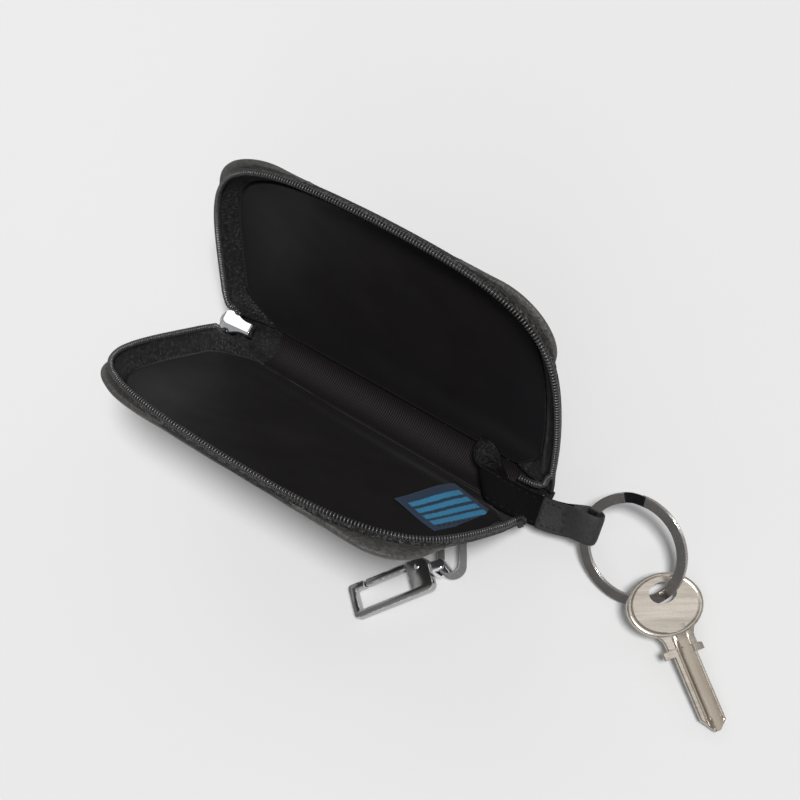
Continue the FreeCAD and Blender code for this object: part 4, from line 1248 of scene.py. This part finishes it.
top = cap("slider_top", 7.75, 9.95, (-0.02, 0.13), 0.26, skirt=1.0)
bot = cap("slider_bottom", 4.92, 5.75, (0.0, 0.0), 0.2, 0.62)
wedge = []
for z, f in ((5.7, 1.0), (6.2, 0.9), (7.7, 0.9), (8.2, 1.0)):
    wedge.append([slider_pt(lerp(0.6, 6.6, 0.5 + 0.5 * math.cos(2 * math.pi * k / 20)), 1.15 * f * math.sin(2 * math.pi * k / 20), z) for k in range(20)])
wedge = grid("slider_wedge", wedge, M_CHROME, close_m=True, cap=True)
slider = join("zip_slider_body", [top, bot, wedge])
slider.data.set_sharp_from_angle(angle=math.radians(14))
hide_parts("zip_slider")
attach(slider, "slider")

# ---------------------------------------------------------------- leather loop behind the clip, standing on edge
TURN = math.radians(34.0)
LC = Vector((45.2, -29.6, 0))


def loop_pt(x, y, z):
    return Vector((LC.x + x * math.cos(TURN) - y * math.sin(TURN), LC.y + x * math.sin(TURN) + y * math.cos(TURN), z))


R0 = 3.4
path = [Vector((-2.2, 18.3, 7.2)), Vector((-3.0, 14.5, 5.2)), Vector((-3.4, 9.0, 4.9)), Vector((-3.45, 4.0, 4.85))]
path += [Vector((R0 * math.cos(a_), R0 * math.sin(a_), 4.85)) for a_ in [math.pi + math.pi * k / 8 for k in range(9)]]
path += [Vector((3.45, 4.0, 4.85)), Vector((3.4, 9.0, 4.9)), Vector((3.0, 14.5, 5.2)), Vector((2.2, 18.3, 7.2))]
cl = resample(spline(path, 8), 0.7)
rows = []
TALL, TH = 6.4, 1.15
sec = []
for k in range(20):
    a_ = 2 * math.pi * k / 20
    x, y = math.cos(a_), math.sin(a_)
    sec.append((math.copysign(abs(x) ** 0.3, x) * TALL / 2, math.copysign(abs(y) ** 0.55, y) * TH / 2))
for i, p in enumerate(cl):
    t = (cl[min(i + 1, len(cl) - 1)] - cl[max(i - 1, 0)]).normalized()
    up = (Vector((0, 0, 1)) - t * t.z).normalized()
    nrm = t.cross(up)
    row = []
    for h_, x_ in sec:
        thin = 1.0 - 0.25 * smooth(0.6, 0.95, abs(h_) / (TALL / 2))
        q = p + up * h_ + nrm * (x_ * thin)
        q += nrm * 0.07 * wob(q, 3.0, 1.0)
        row.append(loop_pt(q.x, q.y, q.z))
    rows.append(row)
# the loop's pale grey leather is painted sheen
loop = grid("clip_loop_leather", rows, M_LOOP_SHEEN, uv=lambda i, j: (i * 0.7, j * 0.4), close_m=True, cap=True)
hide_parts("clip_loop")
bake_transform(loop)

# its sewn tab on the outside of the front half
rows = []
for i in range(22):
    s = i / 21
    row = []
    for j in range(16):
        v = j / 15
        d = min(s, 1 - s) * 11.0, min(v, 1 - v) * 8.0
        rnd = min(1.0, min(d) / 1.1)
        row.append(hp("lower", 30.5 + 11.0 * s, 1.2 + 8.0 * v, 9.1 + 1.05 * math.sqrt(max(0.0, 1 - (1 - rnd) ** 2)) + 0.06 * wob((s * 11, v * 8, 0), 2.0, 3.3)))
    rows.append(row)
# the tab takes the same pale leather with its painted sheen
tab = grid("clip_tab_leather", rows, M_LOOP_SHEEN, uv=lambda i, j: (i * 0.5, j * 0.5))
if sum(f.normal.dot(OUT["lower"]) for f in tab.data.polygons) < 0:
    tab.data.flip_normals()
solid(tab, 0.5)
edge = [(31.8, 2.4), (40.2, 2.4), (40.2, 8.0), (31.8, 8.0), (31.8, 2.4)]
run = []
for (x0, y0), (x1, y1) in zip(edge, edge[1:]):
    run += [(hp("lower", lerp(x0, x1, k / 12), lerp(y0, y1, k / 12), 10.16), OUT["lower"]) for k in range(12)]
tab_sew = stitches("clip_tab_thread", [run], M_THREAD, long=1.6, gap=0.7, r=0.18, sink=0.04)
tab = join("clip_tab_leather", [tab, tab_sew])
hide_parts("clip_tab")
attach(tab, "front_half")

# ---------------------------------------------------------------- metal pieces
def frame_pt(o, x, y, z):
    return lambda a_, b_, c_: o + x * a_ + y * b_ + z * c_


def extrude(name, outline, z0, z1, at, mat, bevel, seg=2):
    """Flat plate from a closed outline, with its edges broken."""
    n = len(outline)
    verts = [at(x, y, z0) for x, y in outline] + [at(x, y, z1) for x, y in outline]
    faces = [tuple(range(n - 1, -1, -1)), tuple(range(n, 2 * n))] + [(k, (k + 1) % n, n + (k + 1) % n, n + k) for k in range(n)]
    ob = make(name, verts, faces, [(v.x, v.y) for v in verts], mat)
    mod = ob.modifiers.new("edge", "BEVEL")
    mod.width = bevel * MM
    mod.segments = seg
    mod.limit_method = "ANGLE"
    mod.angle_limit = math.radians(35)
    settle(ob)
    ob.data.set_sharp_from_angle(angle=math.radians(28))
    return ob


def arc_pts(cx, cy, r, a0, a1, n=8):
    return [(cx + r * math.cos(math.radians(lerp(a0, a1, k / n))), cy + r * math.sin(math.radians(lerp(a0, a1, k / n)))) for k in range(n + 1)]


# split ring: one flat band, two turns
lo, hi = (Vector(v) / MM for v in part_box("split_ring"))
RING_C = (lo + hi) / 2
RX = Vector((-0.52, 0.84, 0.5))
RX = (RX - RING_N * RX.dot(RING_N)).normalized()
ring_at = frame_pt(RING_C, RX, RING_N.cross(RX), RING_N)
GAP = math.radians(19.0)
SPLIT = math.radians(17.0)
rows = []
STEPS = 300
for i in range(STEPS + 1):
    th = lerp(GAP * 0.9, 4 * math.pi - GAP * 0.1, i / STEPS)
    z = lerp(0.33, -0.33, smooth(2 * math.pi - GAP * 0.45, 2 * math.pi + GAP * 0.75, th))
    row = []
    for k in range(24):
        a_ = 2 * math.pi * k / 24
        c, s_ = math.cos(a_), math.sin(a_)
        r = 15.18 + math.copysign(abs(c) ** 0.22, c) * 1.52
        row.append(ring_at(r * math.cos(th - SPLIT), r * math.sin(th - SPLIT), z + math.copysign(abs(s_) ** 0.3, s_) * 0.31))
    rows.append(row)
ring = grid("split_ring_band", rows, M_RING, close_m=True, cap=True)
# faces where the turns cross at the gap take the near-black copy: painted shade
ring.data.materials.append(M_RING_STEP_SHADE)
for f_ in ring.data.polygons:
    th = lerp(GAP * 0.9, 4 * math.pi - GAP * 0.1, (min(f_.vertices) // 24) / STEPS)
    if abs(th - 2 * math.pi - GAP * 0.22) < GAP * 0.68:
        f_.material_index = 1
ring.data.set_sharp_from_angle(angle=math.radians(40))
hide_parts("split_ring")
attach(ring, "ring")

# key: dished bow with a raised border, shoulder, and a blade with milled grooves
key_at = frame_pt(Vector((107.02, -8.32, 6.95)), KX, KY, KX.cross(KY))
prof = [(0.0, 0.85), (0.4, 0.86), (0.7, 0.865), (0.84, 0.87), (0.875, 0.885), (0.895, 0.99), (0.91, 1.03), (0.935, 1.05), (0.96, 1.02), (0.98, 0.93), (0.993, 0.80), (1.0, 0.62)]
prof = prof + [(r, -z) for r, z in reversed(prof)]
rows = []
for r, z in prof:
    row = []
    for k in range(96):
        a_ = 2 * math.pi * k / 96
        dx = 0.65 - 0.15 * smooth(1.0, 0.8, r)
        row.append(key_at(dx + 9.25 * max(r, 0.004) * math.cos(a_), 11.4 * max(r, 0.004) * math.sin(a_), z))
    rows.append(row)
bow = grid("key_bow", rows, M_KEY, close_m=True, cap=True)
pts = [key_at(-2.75 + 3.1 * math.cos(2 * math.pi * k / 48), 0.65 + 4.2 * math.sin(2 * math.pi * k / 48), z) for z in (-3.0, 3.0) for k in range(48)]
drill = make("key_drill", pts, [tuple(range(47, -1, -1)), tuple(range(48, 96))] + [(k, (k + 1) % 48, 48 + (k + 1) % 48, 48 + k) for k in range(48)])
mod = bow.modifiers.new("hole", "BOOLEAN")
mod.operation = "DIFFERENCE"
mod.solver = "EXACT"
mod.object = drill
settle(bow)
bpy.data.objects.remove(drill)


def key_side(x, lo_side):
    if x <= 13.2:
        return (4.6 + 3.2 * (max(0.0, 11.4 - x) / 4.4) ** 2) * (-1 if lo_side else 1)
    if lo_side:
        for a_, b_, ya, yb in ((8.0, 13.2, -4.6, -4.6), (13.2, 13.21, -4.6, -6.4), (13.21, 15.4, -6.4, -6.4), (15.4, 15.41, -6.4, -3.5), (15.41, 33.8, -3.5, -3.5), (33.8, 38.01, -3.5, -0.6)):
            if x <= b_:
                return lerp(ya, yb, (x - a_) / (b_ - a_))
    for a_, b_, ya, yb in ((8.0, 13.2, 4.6, 4.6), (13.2, 13.6, 4.6, 6.0), (13.6, 15.4, 6.0, 6.0), (15.4, 15.41, 6.0, 3.5), (15.41, 35.6, 3.5, 3.5), (35.6, 38.01, 3.5, 0.9)):
        if x <= b_:
            return lerp(ya, yb, (x - a_) / (b_ - a_))
    return 0.0


def key_top(x, y, flip):
    """Height of the blade's face over its mid plane."""
    z = 0.98 - 0.012 * y * y
    for y0, y1, deep, start, flat in (((-2.35, -1.05, 0.55, 9.2, 0.3), (-0.85, 2.75, 0.26, 8.6, 0.86)) if not flip else ((-0.5, 0.9, 0.5, 10.8, 0.4), (2.0, 2.9, 0.4, 11.0, 0.4))):
        run = smooth(start, start + 3.2, x)
        m, h = (y0 + y1) / 2, (y1 - y0) / 2
        d_ = abs(y - m) / h
        z -= deep * run * (1 - smooth(flat, 1.0, d_))
    return z


xs = [7.0 + 0.3 * k for k in range(21)] + [13.0, 13.2, 13.21, 13.6, 14.0, 14.6, 15.2, 15.4, 15.41, 15.8] + [16.2 + 0.6 * k for k in range(29)] + [33.8, 34.4, 35.0, 35.6, 36.2, 36.8, 37.4, 37.8, 38.0]
xs = sorted(set(round(x, 3) for x in xs))
rows = []
for x in xs:
    a_, b_ = key_side(x, True), key_side(x, False)
    ys = [a_, a_ + 0.06, a_ + 0.22] + [lerp(a_ + 0.22, b_ - 0.22, k / 44) for k in range(1, 44)] + [b_ - 0.22, b_ - 0.06, b_]
    row = []
    for k, y in enumerate(ys):
        edge = min(y - a_, b_ - y)
        row.append(key_at(x, y, key_top(x, y, False) - 0.30 * max(0.0, 1 - edge / 0.22) ** 1.5))
    for k, y in enumerate(reversed(ys)):
        edge = min(y - a_, b_ - y)
        row.append(key_at(x, y, -key_top(x, y, True) + 0.30 * max(0.0, 1 - edge / 0.22) ** 1.5))
    rows.append(row)
blade = grid("key_blade", rows, M_KEY, close_m=True, cap=True)
blade.data.materials.append(M_MILL)
for f_ in blade.data.polygons:
    d_ = f_.center / MM - Vector((107.02, -8.32, 6.95))
    if d_.dot(KX.cross(KY)) > 0.1 and d_.dot(KX) > 11.0 and -2.2 < d_.dot(KY) < 2.7:
        f_.material_index = 1
key = join("nickel_key", [bow, blade])
key.data.set_sharp_from_angle(angle=math.radians(30))
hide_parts("key")
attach(key, "house_key")

# carabiner: frame and gate with broken edges, and the bail round the leather loop
BD = Vector((-0.659, -0.752, 0)).normalized()
TOE = math.radians(6.6)
CX = Vector((-BD.x * math.cos(TOE), -BD.y * math.cos(TOE), math.sin(TOE)))
CY = Vector((-CX.y, CX.x, 0)).normalized()
CLIP_L, CH, BAR = 27.0, 5.3, 2.1
clip_at = frame_pt(Vector((LC.x, LC.y, 4.85)) + BD * 6.375 - CX * CLIP_L, CX, CY, CX.cross(CY))
X0, X1 = 2.2, 19.9
outline = [(5.5, CH)] + arc_pts(1.2, CH - 1.2, 1.2, 90, 180) + arc_pts(1.2, -CH + 1.2, 1.2, 180, 270) + arc_pts(CLIP_L - 2.0, -CH + 2.0, 2.0, 270, 360) + arc_pts(CLIP_L - 2.6, CH - 2.6, 2.6, 0, 90)
outline += [(X1 + 0.25, CH), (X1, CH - 0.25)] + arc_pts(X1 - 0.5, -CH + BAR + 0.5, 0.5, 0, -90, 4) + arc_pts(X0 + 0.5, -CH + BAR + 0.5, 0.5, 270, 180, 4) + arc_pts(X0 + 0.5, CH - BAR - 0.5, 0.5, 180, 90, 4) + [(5.5, CH - BAR)]
body = extrude("clip_frame_plate", outline, -1.5, 1.5, clip_at, M_CLIP, 0.45, 2)
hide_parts("clip_frame")
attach(body, "carabiner")
outline = [(5.85, CH - BAR + 0.04), (6.6, CH - BAR + 0.04), (X1 - 0.15, CH - BAR + 0.04), (X1 - 0.15, CH - 0.04), (7.0, CH - 0.04), (6.3, CH - 0.04)]
gate = extrude("clip_gate_bar", outline, -1.42, 1.42, clip_at, M_CLIP, 0.42, 2)
tongue = extrude("clip_gate_tongue", [(X1 - 0.6, 3.3), (20.6, 1.9), (23.4, 1.6)] + arc_pts(23.4, 3.1, 1.5, -60, 90, 8) + [(X1 - 0.6, 4.6)], -0.6, 0.6, clip_at, M_CLIP, 0.1, 1)
gate = join("clip_gate_lever", [gate, tongue])
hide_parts("clip_gate")
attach(gate, "gate")

rows = []
for r, z in ((0.0, 1.86), (0.35, 1.84), (0.68, 1.74), (0.9, 1.58), (0.98, 1.40), (0.98, -1.40), (0.9, -1.58), (0.68, -1.74), (0.35, -1.84), (0.0, -1.86)):
    rows.append([clip_at(23.4 + max(r, 0.01) * math.cos(2 * math.pi * k / 28), 2.9 + max(r, 0.01) * math.sin(2 * math.pi * k / 28), z) for k in range(28)])
rivet = grid("clip_rivet", rows, M_CHROME, close_m=True, cap=True)
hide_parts("gate_pin")
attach(rivet, "carabiner")

bail_at = frame_pt(Vector((LC.x, LC.y, 0)), BD, Vector((-BD.y, BD.x, 0)), Vector((0, 0, 1)))
XA, XB, ZA, ZB = 1.175 + 0.70, 6.2 - 0.80, 0.2 + 0.75, 9.5 - 0.70
loop_line = []
for cx_, cz_, a0 in ((XB - 0.7, ZB - 0.7, 0), (XA + 0.7, ZB - 0.7, 90), (XA + 0.7, ZA + 0.7, 180), (XB - 0.7, ZA + 0.7, 270)):
    loop_line += arc_pts(cx_, cz_, 0.7, a0, a0 + 90, 6)
rows = []
n = len(loop_line)
for i in range(n):
    (xa_, za_), (xb_, zb_) = loop_line[i - 1], loop_line[(i + 1) % n]
    t = Vector((xb_ - xa_, 0, zb_ - za_)).normalized()
    nr = Vector((t.z, 0, -t.x))
    row = []
    for k in range(20):
        a_ = 2 * math.pi * k / 20
        c, s_ = math.cos(a_), math.sin(a_)
        y = math.copysign(abs(c) ** 0.45, c) * 1.55
        d_ = math.copysign(abs(s_) ** 0.6, s_) * 0.80
        row.append(bail_at(loop_line[i][0] + nr.x * d_, y, loop_line[i][1] + nr.z * d_))
    rows.append(row)
bail = grid("clip_bail_strap", rows, M_CHROME, close_n=True, close_m=True)
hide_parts("clip_bail")
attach(bail, "bail")

# the rest keep their CAD shape, with rounded edges
for node, mat, width in (("slider_bridge", M_CHROME, 0.2), ("pull_link", M_CHROME, 0.22), ("pull_tab", M_CHROME, 0.22), ("swivel_stud", M_CHROME, 0.1), ("gate_spring", M_CHROME, 0.1)):
    o = NODES[node]
    o.data.materials.clear()
    o.data.materials.append(mat)
    mod = o.modifiers.new("edge", "BEVEL")
    mod.width = width * MM
    mod.segments = 3
    mod.limit_method = "ANGLE"
    mod.angle_limit = math.radians(32)
    mod.harden_normals = False

# ---------------------------------------------------------------- floor, light, camera
def plain(name, col, rough):
    m, nt, b = new_mat(name)
    b.inputs["Base Color"].default_value = (*col, 1)
    b.inputs["Roughness"].default_value = rough
    b.inputs["Specular IOR Level"].default_value = 0.0
    return m


fl = bpy.data.meshes.new("floor")
fl.from_pydata([(-3, -3, -0.0002), (3, -3, -0.0002), (3, 3, -0.0002), (-3, 3, -0.0002)], [], [(0, 1, 2, 3)])
floor = bpy.data.objects.new("floor", fl)
bpy.context.collection.objects.link(floor)
pale = plain("floor_pale", (0.50, 0.50, 0.50), 0.9)
pale.node_tree.nodes["Principled BSDF"].inputs["Emission Color"].default_value = (1, 1, 1, 1)
pale.node_tree.nodes["Principled BSDF"].inputs["Emission Strength"].default_value = 0.04
fl.materials.append(pale)
floor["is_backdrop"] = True

scene = bpy.context.scene
world = bpy.data.worlds.new("studio")
scene.world = world
world.use_nodes = True
wn = Nodes(world.node_tree)
bg = world.node_tree.nodes["Background"]
d = wn.xyz(wn.n("ShaderNodeTexCoord").outputs["Generated"])
sky = wn.ramp(wn.span(d[2], -0.1, 1.0, 0.0, 1.0), [(0.0, 0.30), (0.35, 0.55), (1.0, 1.0)])
spot = wn.n("ShaderNodeVectorMath", operation="DOT_PRODUCT")
wn.put(spot.inputs[0], wn.n("ShaderNodeTexCoord").outputs["Generated"])
spot.inputs[1].default_value = Vector((-0.453, 0.08, 0.89)).normalized()
wn.put(bg.inputs["Color"], wn.mix(wn.span(spot.outputs["Value"], 0.925, 0.972, 0.0, 1.0), sky, (0.16, 0.16, 0.165)))
bg.inputs["Strength"].default_value = 0.36


def area(name, pos, target, size, power, size_y=None):
    l = bpy.data.lights.new(name, "AREA")
    l.energy = power
    l.size = size
    if size_y:
        l.shape = "RECTANGLE"
        l.size_y = size_y
    o = bpy.data.objects.new(name, l)
    bpy.context.collection.objects.link(o)
    o.location = pos
    o.rotation_euler = (Vector(target) - Vector(pos)).to_track_quat("-Z", "Y").to_euler()
    return o


sun = bpy.data.lights.new("key_light", "SUN")
sun.energy = 4.1
sun.angle = math.radians(11.5)
so = bpy.data.objects.new("key_light", sun)
bpy.context.collection.objects.link(so)
so.location = (0.56, 0.07, 1.2)
so.rotation_euler = (-Vector((0.56, 0.07, 1.2))).to_track_quat("-Z", "Y").to_euler()
area("left_card", (-0.58, 0.58, 0.98), (-0.06, 0.0, 0.01), 0.5, 0.9)
area("front_card", (0.55, -0.75, 0.65), (0.03, 0.0, 0.02), 0.5, 0.9)
area("back_card", (0.60, 0.82, 0.80), (0.107, -0.008, 0.007), 0.42, 0.6)
area("slider_card", (-0.276, 0.064, 0.341), (-0.062, 0.002, 0.0095), 0.14, 0.086)
area("slider_fill", (-0.276, -0.075, 0.338), (-0.062, 0.002, 0.0095), 0.14, 0.0185)

cam = bpy.data.cameras.new("camera")
cam.sensor_width = 36.0
cam.lens = 85.5
cam.clip_start = 0.01
cam.clip_end = 20.0
co = bpy.data.objects.new("camera", cam)
bpy.context.collection.objects.link(co)
right = Vector((0.7776, 0.52637, -0.34391)).normalized()
down = Vector((0.43602, -0.84551, -0.30822))
down = (down - right * right.dot(down)).normalized()
back = right.cross(-down)
m = Matrix((right, -down, back)).transposed().to_4x4()
m.translation = Vector((265.419, -46.743, 520.688)) * MM
co.matrix_world = m
scene.camera = co
scene.view_settings.view_transform = "Standard"

lo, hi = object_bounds()
